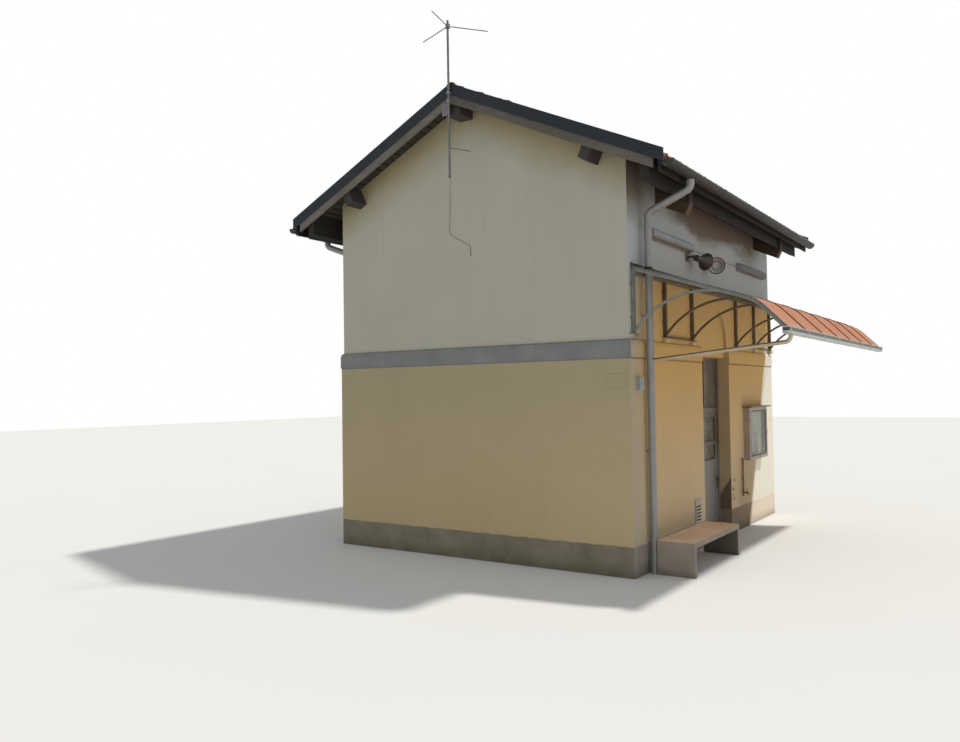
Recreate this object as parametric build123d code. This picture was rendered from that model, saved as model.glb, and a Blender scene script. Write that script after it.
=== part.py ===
from build123d import *
import math
import os

# A small gabled railway station building of rendered masonry. Sizes are in millimetres.
# Pieces are drawn from the front left ground corner: X runs along the track side, Y into
# the building, Z up. The finished pieces are moved so that the origin is the centre of the
# footprint on the ground.

# Masonry shell
LENGTH = 6600.0
WIDTH = 5080.0
WALL = 400.0
UPPER_SETBACK = 30.0
COURSE_BOTTOM = 2820.0
COURSE_HEIGHT = 260.0
COURSE_PROUD = 10.0
COURSE_BEVEL = 70.0
COURSE_GROOVE = 18.0
FLOOR_HEIGHT = 100.0

# Arched doorway in the track side
DOORWAY_LEFT = 2670.0
DOORWAY_WIDTH = 1300.0
DOORWAY_HEAD = 2930.0
ARCH_SPRING = 3150.0
TYMPANUM_RECESS = 50.0
SILL_PROUD = 20.0
FIT_GAP = 0.3

# Door frame, side panel and leaf
FRAME_RECESS = 190.0
FRAME_DEPTH = 70.0
FRAME_WIDTH = 45.0
STOP_DEPTH = 10.0
STOP_OVERLAP = 12.0
LEAF_CLEARANCE = 5.0
LEAF_FREE_GAP = 8.0
LEAF_WIDTH = 942.0
LEAF_THICKNESS = 45.0
TRANSOM_BOTTOM = 2060.0
STILE_WIDTH = 105.0
LEAF_GLASS_BOTTOM = 1240.0
LEAF_BAR_BOTTOM = 1500.0
LEAF_BAR_HEIGHT = 40.0
LEAF_TOP_RAIL = 100.0
PANEL_RAIL = 130.0
PANEL_RECESS = 10.0
GLASS_THICKNESS = 6.0
HINGE_RADIUS = 9.0
HINGE_PIN_RADIUS = 5.0
HINGE_PIN_CLEARANCE = 0.3
HINGE_LENGTH = 45.0
HINGE_STANDOFF = 10.0
HINGE_TAB = 6.0
HINGE_HEIGHTS = (350.0, 1750.0)
LOCK_HEIGHT = 850.0
LOCK_FROM_EDGE = 55.0
LOCK_PLATE_WIDTH = 40.0
LOCK_PLATE_HEIGHT = 220.0
LOCK_PLATE_THICKNESS = 6.0
LEVER_RISE = 50.0
LEVER_REACH = 45.0
LEVER_LENGTH = 110.0
LEVER_THICKNESS = 16.0

# Roof
RIDGE_HEIGHT = 6820.0
ROOF_PITCH = 25.3
EAVE_FRONT = 640.0
EAVE_REAR = 700.0
VERGE_LEFT = 358.0
VERGE_RIGHT = 450.0
TILE_DEPTH = 70.0
TILE_DRIP = 40.0
BOARD_DEPTH = 30.0
FLASHING_THICKNESS = 20.0
FLASHING_DEPTH = 125.0
FLASHING_RISE = 25.0
BARGE_THICKNESS = 30.0
BARGE_DEPTH = 135.0
BARGE_EAVE_INSET = 100.0
RIDGE_TILE_RADIUS = 95.0
RIDGE_TILE_THICKNESS = 17.0
RIDGE_TILE_RISE = 3.0
RIDGE_BEAM_WIDTH = 220.0
RIDGE_BEAM_DEPTH = 300.0
PLATE_WIDTH = 145.0
PLATE_DEPTH = 287.0
PLATE_AT = 305.0
TIMBER_PROJECTION = 300.0
EAVE_BEAM_WIDTH = 140.0
EAVE_BEAM_DEPTH = 475.0
EAVE_BEAM_REACH = 490.0
EAVE_BEAM_EMBED = 150.0
EAVE_BEAM_NOSE_RUN = 60.0
EAVE_BEAM_NOSE_RISE = 130.0
EAVE_BEAM_AT = (1060.0, 5720.0)
EAVE_PURLIN_WIDTH = 120.0
EAVE_PURLIN_DEPTH = 310.0
EAVE_PURLIN_OFFSET = 330.0
FASCIA_THICKNESS = 25.0
FASCIA_DEPTH = 160.0

# Eave gutters and downpipes
GUTTER_RADIUS = 85.0
GUTTER_SHEET = 3.0
GUTTER_DROP = 40.0
GUTTER_END_INSET = 10.0
PIPE_RADIUS = 50.0
PIPE_AT = 450.0
PIPE_WALL_GAP = 30.0
PIPE_ELBOW_DROP = 355.0
PIPE_NECK_DROP = 110.0
PIPE_BEND = 90.0
BRACKET_HEIGHTS = (400.0, 1600.0, 3400.0)
BRACKET_HEIGHT = 30.0
BRACKET_SHEET = 4.0

# Curved canopy over the track side
CANOPY_LEFT = 100.0
CANOPY_RIGHT_INSET = 30.0
CANOPY_TOP = 4030.0
CANOPY_PITCH = 18.4
CANOPY_STRAIGHT = 1540.0
CANOPY_RADIUS = 580.0
CANOPY_TURN = 27.2
CANOPY_TAIL = 370.0
SHEET_THICKNESS = 6.0
COLLAR_GAP = 4.0
SEAM_WIDTH = 30.0
SEAM_HEIGHT = 12.0
SEAM_FIRST = 960.0
SEAM_PITCH = 960.0
CHORD_DEPTH = 45.0
CHORD_WIDTH = 40.0
CHORD_PLUMB_CUT = 25.0
FRAMES_FROM_LEFT = (130.0, 1210.0, 2290.0)
FRAMES_FROM_RIGHT = (2160.0, 1090.0, 60.0)
POST_WIDTH = 55.0
POST_DEPTH = 45.0
POST_FOOT = 3140.0
BACK_BEAM = 60.0
BACK_BEAM_DROP = 50.0
BRACE_MID = (-560.0, 3575.0)
BRACE_END = (-1290.0, 3560.0)
BRACE_WIDTH = 30.0
PAD_WIDTH = 160.0
PAD_DEPTH = 70.0
CANOPY_GUTTER_WIDTH = 75.0
CANOPY_GUTTER_HEIGHT = 85.0
CANOPY_GUTTER_DROP = 10.0
CANOPY_GUTTER_OVERHANG = 120.0
DRAIN_RADIUS = 25.0
DRAIN_FROM_END = 220.0
DRAIN_DROP = 85.0
DRAIN_JOIN_HEIGHT = 2800.0

# Fittings on the track side
LAMP_LENGTH = 1520.0
LAMP_HEIGHT = 130.0
LAMP_DEPTH = 100.0
LAMP_BOTTOM = 4475.0
LAMP_AT = (700.0, 4600.0)
SPEAKER_AT = (2180.0, 3100.0)
SPEAKER_HEIGHT = 4380.0
SPEAKER_RADIUS = 130.0
SPEAKER_LENGTH = 230.0
SPEAKER_THROAT = 45.0
SPEAKER_STANDOFF = 150.0
SPEAKER_WALL = 8.0
SPEAKER_TURNED = (72.0, -72.0)
SPEAKER_TILT = 10.0
SPEAKER_ARM_RADIUS = 15.0
NOTICE_LEFT = 4720.0
NOTICE_BOTTOM = 1160.0
NOTICE_WIDTH = 1080.0
NOTICE_HEIGHT = 920.0
NOTICE_DEPTH = 110.0
NOTICE_BORDER = 55.0
NOTICE_HOOD = 60.0
NOTICE_HOOD_THICKNESS = 20.0
VENT_LEFT = 2200.0
VENT_BOTTOM = 410.0
VENT_WIDTH = 260.0
VENT_HEIGHT = 340.0
VENT_DEPTH = 18.0
VENT_BORDER = 25.0
VENT_SLAT_PITCH = 50.0
BOX_LEFT = 150.0
BOX_BOTTOM = 2410.0
BOX_WIDTH = 120.0
BOX_HEIGHT = 160.0
BOX_DEPTH = 60.0
TAP_AT = 4550.0
TAP_BOTTOM = 560.0
TAP_TOP = 1200.0
TAP_RADIUS = 14.0
TAP_WALL_GAP = 12.0
TAP_SPOUT = 90.0
TAP_SPOUT_HEIGHT = 620.0

# Bench in front of the wall, pushed back against the downpipe's lowest band
BENCH_LEFT = 410.0
BENCH_LENGTH = 1840.0
BENCH_DEPTH = 510.0
BENCH_HEIGHT = 446.0
BENCH_SLAB = 70.0
BENCH_END = 70.0
BENCH_ROUND = 12.0

# Antenna on the left verge
MAST_RADIUS = 16.0
MAST_BELOW_RIDGE = 1340.0
MAST_ABOVE_RIDGE = 920.0
ROD_RADIUS = 7.0
ROD_COUNT = 3
ROD_LENGTH = 585.0
ROD_FIRST_ANGLE = 75.0
ROD_DROP = 34.0
HUB_RADIUS = 30.0
HUB_HEIGHT = 55.0
HUB_BELOW_TOP = 80.0
MAST_CLAMPS_BELOW_RIDGE = (240.0, 120.0)
STUB_BELOW_RIDGE = 910.0
STUB_REACH = 370.0
STUB_FALL = 120.0
MAST_STANDOFF = 14.0
CLAMP_HEIGHT = 30.0
CLAMP_SHEET = 6.0

# Derived sizes
RIDGE_Y = WIDTH / 2
PITCH_TAN = math.tan(math.radians(ROOF_PITCH))
PITCH_SIN = math.sin(math.radians(ROOF_PITCH))
PITCH_COS = math.cos(math.radians(ROOF_PITCH))
DECK_BOTTOM = TILE_DEPTH + BOARD_DEPTH
COURSE_TOP = COURSE_BOTTOM + COURSE_HEIGHT
DOORWAY_RIGHT = DOORWAY_LEFT + DOORWAY_WIDTH
ARCH_RADIUS = DOORWAY_WIDTH / 2
DOORWAY_MIDDLE = DOORWAY_LEFT + ARCH_RADIUS
LEAF_FACE = FRAME_RECESS + STOP_DEPTH + LEAF_CLEARANCE
FRAME_BACK = FRAME_RECESS + FRAME_DEPTH
LEAF_RIGHT = DOORWAY_RIGHT - FRAME_WIDTH - LEAF_FREE_GAP
LEAF_LEFT = LEAF_RIGHT - LEAF_WIDTH
MULLION_RIGHT = LEAF_LEFT - LEAF_CLEARANCE
MULLION_LEFT = MULLION_RIGHT - FRAME_WIDTH
LEAF_BOTTOM = FLOOR_HEIGHT + LEAF_FREE_GAP
LEAF_TOP = TRANSOM_BOTTOM - LEAF_FREE_GAP
HINGE_X = MULLION_RIGHT
HINGE_Y = FRAME_BACK + HINGE_STANDOFF
PIPE_Y = -PIPE_WALL_GAP - PIPE_RADIUS
BENCH_BACK = PIPE_Y - PIPE_RADIUS - BRACKET_SHEET - FIT_GAP
CANOPY_RIGHT = LENGTH - CANOPY_RIGHT_INSET
FRAME_AT = FRAMES_FROM_LEFT + tuple(LENGTH - inset for inset in FRAMES_FROM_RIGHT)
MAST_BOTTOM = RIDGE_HEIGHT - MAST_BELOW_RIDGE
MAST_TOP = RIDGE_HEIGHT + MAST_ABOVE_RIDGE


def block(x0, x1, y0, y1, z0, z1):
    """Box between two corners."""
    return Pos((x0 + x1) / 2, (y0 + y1) / 2, (z0 + z1) / 2) * Box(x1 - x0, y1 - y0, z1 - z0)


def prism_x(outline, x0, x1):
    """Polygon given as (y, z) points, extruded along X."""
    face = make_face(Polyline([(x0, y, z) for y, z in outline], close=True))
    return extrude(face, amount=x1 - x0, dir=(1, 0, 0))


def prism_y(outline, y0, y1):
    """Polygon given as (x, z) points, extruded along Y."""
    face = make_face(Polyline([(x, y0, z) for x, z in outline], close=True))
    return extrude(face, amount=y1 - y0, dir=(0, 1, 0))


def prism_z(outline, z0, z1):
    """Polygon given as (x, y) points, extruded along Z."""
    face = make_face(Polyline([(x, y, z0) for x, y in outline], close=True))
    return extrude(face, amount=z1 - z0, dir=(0, 0, 1))


def rod(start, end, radius):
    """Round bar between two points."""
    line = Line(start, end)
    return sweep(Plane(origin=start, z_dir=line % 0) * Circle(radius), path=line)


def round_pipe(points, bends, radius):
    """Round pipe along straight runs joined by arcs."""
    path = FilletPolyline(*points, radius=bends)
    return sweep(Plane(origin=points[0], z_dir=path % 0) * Circle(radius), path=path)


def roof_z(y, depth):
    """Height of the plane that lies a given depth square below the roof covering."""
    return RIDGE_HEIGHT - abs(y - RIDGE_Y) * PITCH_TAN - depth / PITCH_COS


def slope_layer(top, bottom, eave_y, x0, x1):
    """One slope's layer between two depths, from the ridge to a plumb cut at the eave."""
    return prism_x([(RIDGE_Y, roof_z(RIDGE_Y, top)), (eave_y, roof_z(eave_y, top)),
                    (eave_y, roof_z(eave_y, bottom)), (RIDGE_Y, roof_z(RIDGE_Y, bottom))],
                   x0, x1)


def gabled_layer(top, bottom, front_y, rear_y, x0, x1):
    """Both slopes' layer between two depths as one solid."""
    return prism_x([(front_y, roof_z(front_y, top)), (RIDGE_Y, roof_z(RIDGE_Y, top)),
                    (rear_y, roof_z(rear_y, top)), (rear_y, roof_z(rear_y, bottom)),
                    (RIDGE_Y, roof_z(RIDGE_Y, bottom)), (front_y, roof_z(front_y, bottom))],
                   x0, x1)


def timber_ends():
    """Where the long roof timbers start and stop, past the gables."""
    return -TIMBER_PROJECTION, LENGTH + TIMBER_PROJECTION


def ridge_beam():
    half = RIDGE_BEAM_WIDTH / 2
    x0, x1 = timber_ends()
    low = roof_z(RIDGE_Y, DECK_BOTTOM) - RIDGE_BEAM_DEPTH
    return prism_x([(RIDGE_Y - half, low), (RIDGE_Y + half, low),
                    (RIDGE_Y + half, roof_z(RIDGE_Y + half, DECK_BOTTOM)),
                    (RIDGE_Y, roof_z(RIDGE_Y, DECK_BOTTOM)),
                    (RIDGE_Y - half, roof_z(RIDGE_Y - half, DECK_BOTTOM))], x0, x1)


def wall_plate(outer_y, inward):
    """Plate on a long wall's head, canted square to the slope."""
    x0, x1 = timber_ends()
    inner_y = outer_y + inward * PLATE_WIDTH * PITCH_COS
    lean = inward * PLATE_DEPTH * PITCH_SIN
    depth = DECK_BOTTOM + PLATE_DEPTH
    return prism_x([(outer_y, roof_z(outer_y, DECK_BOTTOM)), (inner_y, roof_z(inner_y, DECK_BOTTOM)),
                    (inner_y + lean, roof_z(inner_y + lean, depth)),
                    (outer_y + lean, roof_z(outer_y + lean, depth))], x0, x1)


def wall_plates():
    return [wall_plate(PLATE_AT, 1), wall_plate(WIDTH - PLATE_AT, -1)]


def eave_beam(at, face_y, outward):
    """Deep beam end out of a long wall under the eave boards, with a cut nose."""
    y0 = face_y - outward * EAVE_BEAM_EMBED
    y1 = face_y + outward * EAVE_BEAM_REACH
    nose_y = y1 - outward * EAVE_BEAM_NOSE_RUN
    depth = DECK_BOTTOM + EAVE_BEAM_DEPTH
    nose_z = roof_z(nose_y, depth)
    half = EAVE_BEAM_WIDTH / 2
    return prism_x([(y0, roof_z(y0, DECK_BOTTOM)), (y1, roof_z(y1, DECK_BOTTOM)),
                    (y1, nose_z + EAVE_BEAM_NOSE_RISE), (nose_y, nose_z), (y0, roof_z(y0, depth))],
                   at - half, at + half)


def front_eave_beams():
    return [eave_beam(at, UPPER_SETBACK, -1) for at in EAVE_BEAM_AT]


def rear_eave_beams():
    return [eave_beam(at, WIDTH - UPPER_SETBACK, 1) for at in EAVE_BEAM_AT]


def eave_purlin(face_y, outward):
    """Purlin that lies along an eave on the beam ends, up against the eave boards."""
    x0, x1 = timber_ends()
    inner_y = face_y + outward * EAVE_PURLIN_OFFSET
    outer_y = inner_y + outward * EAVE_PURLIN_WIDTH
    depth = DECK_BOTTOM + EAVE_PURLIN_DEPTH
    return prism_x([(inner_y, roof_z(inner_y, DECK_BOTTOM)), (outer_y, roof_z(outer_y, DECK_BOTTOM)),
                    (outer_y, roof_z(outer_y, depth)), (inner_y, roof_z(inner_y, depth))], x0, x1)


def eave_timbers():
    """Each long side's purlin and beam ends as one solid."""
    front = eave_purlin(UPPER_SETBACK, -1)
    for beam in front_eave_beams():
        front += beam
    rear = eave_purlin(WIDTH - UPPER_SETBACK, 1)
    for beam in rear_eave_beams():
        rear += beam
    return [front, rear]


def long_wall(x0, x1):
    """Track side wall between two places, set back above the string course."""
    face = UPPER_SETBACK
    wall = prism_x([(0, 0), (WALL, 0), (WALL, roof_z(WALL, DECK_BOTTOM)),
                    (face, roof_z(face, DECK_BOTTOM)), (face, COURSE_BOTTOM),
                    (0, COURSE_BOTTOM)], x0, x1)
    for timber in wall_plates()[:1] + front_eave_beams():
        wall -= timber
    return wall


def front_wall_left():
    return long_wall(WALL, DOORWAY_LEFT)


def front_wall_right():
    return long_wall(DOORWAY_RIGHT, LENGTH - WALL)


def arch_tool(radius, y0, y1):
    """Half-round headed opening, from the arch's springing up."""
    drum = Pos(DOORWAY_MIDDLE, (y0 + y1) / 2, ARCH_SPRING) * Rot(90, 0, 0) * Cylinder(radius, y1 - y0)
    return drum


def front_wall_over_door():
    wall = long_wall(DOORWAY_LEFT, DOORWAY_RIGHT)
    wall &= block(DOORWAY_LEFT, DOORWAY_RIGHT, UPPER_SETBACK, WALL, ARCH_SPRING, RIDGE_HEIGHT)
    return wall - arch_tool(ARCH_RADIUS, 0, WALL)


def door_tympanum():
    """Infill of the arch above the door head."""
    face = UPPER_SETBACK + TYMPANUM_RECESS
    drum = arch_tool(ARCH_RADIUS - FIT_GAP, face, WALL)
    drum &= block(DOORWAY_LEFT, DOORWAY_RIGHT, face, WALL, ARCH_SPRING, RIDGE_HEIGHT)
    return drum + block(DOORWAY_LEFT, DOORWAY_RIGHT, face, WALL, DOORWAY_HEAD, ARCH_SPRING)


def back_wall():
    face = WIDTH - UPPER_SETBACK
    inner = WIDTH - WALL
    wall = prism_x([(WIDTH, 0), (inner, 0), (inner, roof_z(inner, DECK_BOTTOM)),
                    (face, roof_z(face, DECK_BOTTOM)), (face, COURSE_BOTTOM),
                    (WIDTH, COURSE_BOTTOM)], WALL, LENGTH - WALL)
    for timber in wall_plates()[1:] + rear_eave_beams():
        wall -= timber
    return wall


def gable_wall(outer_x, inward):
    """Gable wall at one end, with pockets for the roof timbers."""
    inner_x = outer_x + inward * WALL
    upper_x = outer_x + inward * UPPER_SETBACK
    low = block(min(outer_x, inner_x), max(outer_x, inner_x), 0, WIDTH, 0, COURSE_BOTTOM)
    front = UPPER_SETBACK
    rear = WIDTH - UPPER_SETBACK
    high = prism_x([(front, COURSE_BOTTOM), (rear, COURSE_BOTTOM), (rear, roof_z(rear, DECK_BOTTOM)),
                    (RIDGE_Y, roof_z(RIDGE_Y, DECK_BOTTOM)), (front, roof_z(front, DECK_BOTTOM))],
                   min(upper_x, inner_x), max(upper_x, inner_x))
    wall = low + high
    for timber in [ridge_beam()] + wall_plates():
        wall -= timber
    return wall


def course_outline():
    """String course section as (outward offset, height) points."""
    return [(-UPPER_SETBACK, COURSE_BOTTOM), (0, COURSE_BOTTOM), (0, COURSE_BOTTOM + COURSE_GROOVE),
            (COURSE_PROUD, COURSE_BOTTOM + COURSE_GROOVE), (COURSE_PROUD, COURSE_TOP - COURSE_BEVEL),
            (0, COURSE_TOP - COURSE_BEVEL / 3), (-UPPER_SETBACK, COURSE_TOP)]


def mitre_tool():
    """Four-sided pyramid plan that mitres a front run at both corners."""
    reach = COURSE_PROUD
    inset = UPPER_SETBACK
    return prism_z([(-reach, -reach), (LENGTH + reach, -reach),
                    (LENGTH - inset, inset), (inset, inset)], COURSE_BOTTOM, COURSE_TOP)


def string_course_front():
    run = prism_x([(-out, z) for out, z in course_outline()], -COURSE_PROUD, LENGTH + COURSE_PROUD)
    run &= mitre_tool()
    run -= block(DOORWAY_LEFT, DOORWAY_RIGHT, -WALL, WALL, COURSE_BOTTOM, COURSE_TOP)
    return run


def string_course_back():
    run = prism_x([(WIDTH + out, z) for out, z in course_outline()],
                  -COURSE_PROUD, LENGTH + COURSE_PROUD)
    reach = COURSE_PROUD
    inset = UPPER_SETBACK
    return run & prism_z([(-reach, WIDTH + reach), (LENGTH + reach, WIDTH + reach),
                          (LENGTH - inset, WIDTH - inset), (inset, WIDTH - inset)],
                         COURSE_BOTTOM, COURSE_TOP)


def string_course_gable(outer_x, outward):
    run = prism_y([(outer_x + outward * out, z) for out, z in course_outline()],
                  -COURSE_PROUD, WIDTH + COURSE_PROUD)
    reach = outer_x + outward * COURSE_PROUD
    inset = outer_x - outward * UPPER_SETBACK
    return run & prism_z([(reach, -COURSE_PROUD), (reach, WIDTH + COURSE_PROUD),
                          (inset, WIDTH - UPPER_SETBACK), (inset, UPPER_SETBACK)],
                         COURSE_BOTTOM, COURSE_TOP)


def floor_slab():
    return block(WALL, LENGTH - WALL, WALL, WIDTH - WALL, 0, FLOOR_HEIGHT)


def door_sill():
    return block(DOORWAY_LEFT, DOORWAY_RIGHT, -SILL_PROUD, WALL, 0, FLOOR_HEIGHT)


def door_frame():
    """Jambs, mullion, head, transom bar and stop, with the fixed halves of the hinges."""
    y0 = FRAME_RECESS
    y1 = FRAME_BACK
    left = DOORWAY_LEFT + FRAME_WIDTH
    right = DOORWAY_RIGHT - FRAME_WIDTH
    head = DOORWAY_HEAD - FRAME_WIDTH
    transom_top = TRANSOM_BOTTOM + FRAME_WIDTH
    frame = block(DOORWAY_LEFT, DOORWAY_RIGHT, y0, y1, FLOOR_HEIGHT, DOORWAY_HEAD)
    frame -= block(left, right, y0, y1, transom_top, head)
    frame -= block(left, MULLION_LEFT, y0, y1, FLOOR_HEIGHT, TRANSOM_BOTTOM)
    stop_back = y0 + STOP_DEPTH
    frame -= block(MULLION_RIGHT, right, stop_back, y1, FLOOR_HEIGHT, TRANSOM_BOTTOM)
    frame -= block(LEAF_LEFT + STOP_OVERLAP, LEAF_RIGHT - STOP_OVERLAP, y0, stop_back,
                   FLOOR_HEIGHT, LEAF_TOP - STOP_OVERLAP)
    for height in HINGE_HEIGHTS:
        frame += Pos(HINGE_X, HINGE_Y, height - HINGE_LENGTH / 2) * Cylinder(HINGE_RADIUS, HINGE_LENGTH)
        pin = Cylinder(HINGE_PIN_RADIUS, HINGE_LENGTH / 2)
        frame += Pos(HINGE_X, HINGE_Y, height + HINGE_LENGTH / 4) * pin
        frame += block(HINGE_X - 2 * HINGE_RADIUS, HINGE_X, y1, HINGE_Y + HINGE_TAB / 2,
                       height - HINGE_LENGTH, height)
    return frame


def door_side_panel():
    """Fixed metal panel beside the leaf."""
    y0 = LEAF_FACE
    panel = block(DOORWAY_LEFT + FRAME_WIDTH, MULLION_LEFT, y0, y0 + LEAF_THICKNESS,
                  FLOOR_HEIGHT, TRANSOM_BOTTOM)
    return panel


def door_leaf():
    """Leaf with two lights above a recessed panel, and its halves of the hinges."""
    y0 = LEAF_FACE
    y1 = y0 + LEAF_THICKNESS
    left = LEAF_LEFT + STILE_WIDTH
    right = LEAF_RIGHT - STILE_WIDTH
    leaf = block(LEAF_LEFT, LEAF_RIGHT, y0, y1, LEAF_BOTTOM, LEAF_TOP)
    leaf -= block(left, right, y0, y1, LEAF_GLASS_BOTTOM, LEAF_BAR_BOTTOM)
    leaf -= block(left, right, y0, y1, LEAF_BAR_BOTTOM + LEAF_BAR_HEIGHT, LEAF_TOP - LEAF_TOP_RAIL)
    panel_low = LEAF_BOTTOM + PANEL_RAIL
    panel_high = LEAF_GLASS_BOTTOM - PANEL_RAIL
    leaf -= block(left, right, y0, y0 + PANEL_RECESS, panel_low, panel_high)
    leaf -= block(left, right, y1 - PANEL_RECESS, y1, panel_low, panel_high)
    for height in HINGE_HEIGHTS:
        low = height + HINGE_PIN_CLEARANCE
        high = height + HINGE_LENGTH
        leaf += block(HINGE_X, LEAF_LEFT + 4 * HINGE_RADIUS, HINGE_Y - HINGE_TAB / 2,
                      HINGE_Y + HINGE_TAB / 2, low, high)
        leaf += block(LEAF_LEFT + 2 * HINGE_RADIUS, LEAF_LEFT + 4 * HINGE_RADIUS, y1,
                      HINGE_Y + HINGE_TAB / 2, low, high)
        leaf += Pos(HINGE_X, HINGE_Y, (low + high) / 2) * Cylinder(HINGE_RADIUS, high - low)
        leaf -= Pos(HINGE_X, HINGE_Y, (low + high) / 2) * Cylinder(
            HINGE_PIN_RADIUS + HINGE_PIN_CLEARANCE, high - low)
    return leaf


def door_glass():
    """Two panes held in the leaf."""
    y0 = LEAF_FACE + (LEAF_THICKNESS - GLASS_THICKNESS) / 2
    left = LEAF_LEFT + STILE_WIDTH
    right = LEAF_RIGHT - STILE_WIDTH
    return [block(left, right, y0, y0 + GLASS_THICKNESS, LEAF_GLASS_BOTTOM, LEAF_BAR_BOTTOM),
            block(left, right, y0, y0 + GLASS_THICKNESS, LEAF_BAR_BOTTOM + LEAF_BAR_HEIGHT,
                  LEAF_TOP - LEAF_TOP_RAIL)]


def transom_glass():
    y0 = FRAME_RECESS + (FRAME_DEPTH - GLASS_THICKNESS) / 2
    return block(DOORWAY_LEFT + FRAME_WIDTH, DOORWAY_RIGHT - FRAME_WIDTH, y0, y0 + GLASS_THICKNESS,
                 TRANSOM_BOTTOM + FRAME_WIDTH, DOORWAY_HEAD - FRAME_WIDTH)


def lock_set(face_y, outward):
    """Lock plate and lever on one face of the leaf."""
    x = LEAF_RIGHT - LOCK_FROM_EDGE
    lever_z = LOCK_HEIGHT + LEVER_RISE
    half = LEVER_THICKNESS / 2
    end_y = face_y + outward * LEVER_REACH
    low, high = sorted((face_y, face_y + outward * LOCK_PLATE_THICKNESS))
    lock = block(x - LOCK_PLATE_WIDTH / 2, x + LOCK_PLATE_WIDTH / 2, low, high,
                 LOCK_HEIGHT - LOCK_PLATE_HEIGHT / 2, LOCK_HEIGHT + LOCK_PLATE_HEIGHT / 2)
    lock += rod((x, face_y, lever_z), (x, end_y - outward * half, lever_z), half)
    low, high = sorted((end_y, end_y - outward * LEVER_THICKNESS))
    lever = block(x - LEVER_LENGTH, x + half, low, high, lever_z - half, lever_z + half)
    return lock + fillet(lever.edges().filter_by(Axis.X), LEVER_THICKNESS / 4)


def door_handle():
    return [lock_set(LEAF_FACE, -1), lock_set(LEAF_FACE + LEAF_THICKNESS, 1)]


def roof_ends():
    return -VERGE_LEFT, LENGTH + VERGE_RIGHT


def roof_boards(rear):
    x0, x1 = roof_ends()
    eave_y = WIDTH + EAVE_REAR - TILE_DRIP if rear else TILE_DRIP - EAVE_FRONT
    return slope_layer(TILE_DEPTH, DECK_BOTTOM, eave_y, x0, x1)


def roof_tiles(rear):
    x0, x1 = roof_ends()
    eave_y = WIDTH + EAVE_REAR if rear else -EAVE_FRONT
    return slope_layer(0, TILE_DEPTH, eave_y, x0, x1)


def ridge_tiles():
    """Half-round capping that sits on the upper tiles."""
    x0, x1 = roof_ends()
    z = RIDGE_HEIGHT - RIDGE_TILE_RADIUS * PITCH_TAN + RIDGE_TILE_RISE
    drum = Rot(0, 90, 0) * Cylinder(RIDGE_TILE_RADIUS, x1 - x0)
    hollow = Rot(0, 90, 0) * Cylinder(RIDGE_TILE_RADIUS - RIDGE_TILE_THICKNESS, x1 - x0)
    cap = Pos((x0 + x1) / 2, RIDGE_Y, z) * (drum - hollow)
    return cap - gabled_layer(0, RIDGE_TILE_RADIUS * 3, RIDGE_Y - EAVE_FRONT, RIDGE_Y + EAVE_FRONT, x0, x1)


def verge_flashing(x0, x1):
    """Metal edging that stands up past the tiles."""
    return gabled_layer(-FLASHING_RISE, FLASHING_DEPTH, -EAVE_FRONT, WIDTH + EAVE_REAR, x0, x1)


def barge_boards(x0, x1):
    """Pair of boards under a verge, cut short of the eaves."""
    inset = TILE_DRIP + BARGE_EAVE_INSET
    return gabled_layer(DECK_BOTTOM, DECK_BOTTOM + BARGE_DEPTH, inset - EAVE_FRONT,
                        WIDTH + EAVE_REAR - inset, x0, x1)


def eave_fascia(outer_y, inward):
    """Board under the eave that the gutter hangs on."""
    inner_y = outer_y + inward * FASCIA_THICKNESS
    top_outer = roof_z(outer_y, DECK_BOTTOM)
    top_inner = roof_z(inner_y, DECK_BOTTOM)
    low = top_outer - FASCIA_DEPTH
    return prism_x([(outer_y, low), (inner_y, low), (inner_y, top_inner), (outer_y, top_outer)],
                   -VERGE_LEFT, LENGTH + VERGE_RIGHT)


def front_fascia_y():
    return TILE_DRIP - EAVE_FRONT + BARGE_THICKNESS / 3


def rear_fascia_y():
    return WIDTH + EAVE_REAR - TILE_DRIP - BARGE_THICKNESS / 3


def gutter_top(edge_y):
    return roof_z(edge_y, TILE_DEPTH) - GUTTER_DROP


def half_round_gutter(centre_y, top):
    """Half-round gutter with closed ends."""
    x0 = GUTTER_END_INSET - VERGE_LEFT
    x1 = LENGTH + VERGE_RIGHT - GUTTER_END_INSET
    middle = (x0 + x1) / 2
    outer = Pos(middle, centre_y, top) * Rot(0, 90, 0) * Cylinder(GUTTER_RADIUS, x1 - x0)
    inner = Pos(middle, centre_y, top) * Rot(0, 90, 0) * Cylinder(
        GUTTER_RADIUS - GUTTER_SHEET, x1 - x0 - 2 * GUTTER_SHEET)
    above = block(x0, x1, centre_y - GUTTER_RADIUS, centre_y + GUTTER_RADIUS, top, top + GUTTER_RADIUS)
    return outer - inner - above


def front_gutter():
    return half_round_gutter(front_fascia_y() - GUTTER_RADIUS, gutter_top(-EAVE_FRONT))


def rear_gutter():
    return half_round_gutter(rear_fascia_y() + GUTTER_RADIUS, gutter_top(WIDTH + EAVE_REAR))


def downpipe(outlet_y, outlet_z, pipe_y):
    """Downpipe with a swan neck from the gutter's outlet back to the wall."""
    neck_z = outlet_z - PIPE_NECK_DROP
    return round_pipe([(PIPE_AT, outlet_y, outlet_z), (PIPE_AT, outlet_y, neck_z),
                       (PIPE_AT, pipe_y, outlet_z - PIPE_ELBOW_DROP), (PIPE_AT, pipe_y, 0)],
                      PIPE_BEND, PIPE_RADIUS)


def front_downpipe():
    return downpipe(front_fascia_y() - GUTTER_RADIUS, gutter_top(-EAVE_FRONT) - GUTTER_RADIUS, PIPE_Y)


def rear_downpipe():
    return downpipe(rear_fascia_y() + GUTTER_RADIUS, gutter_top(WIDTH + EAVE_REAR) - GUTTER_RADIUS,
                    WIDTH - PIPE_Y)


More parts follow.
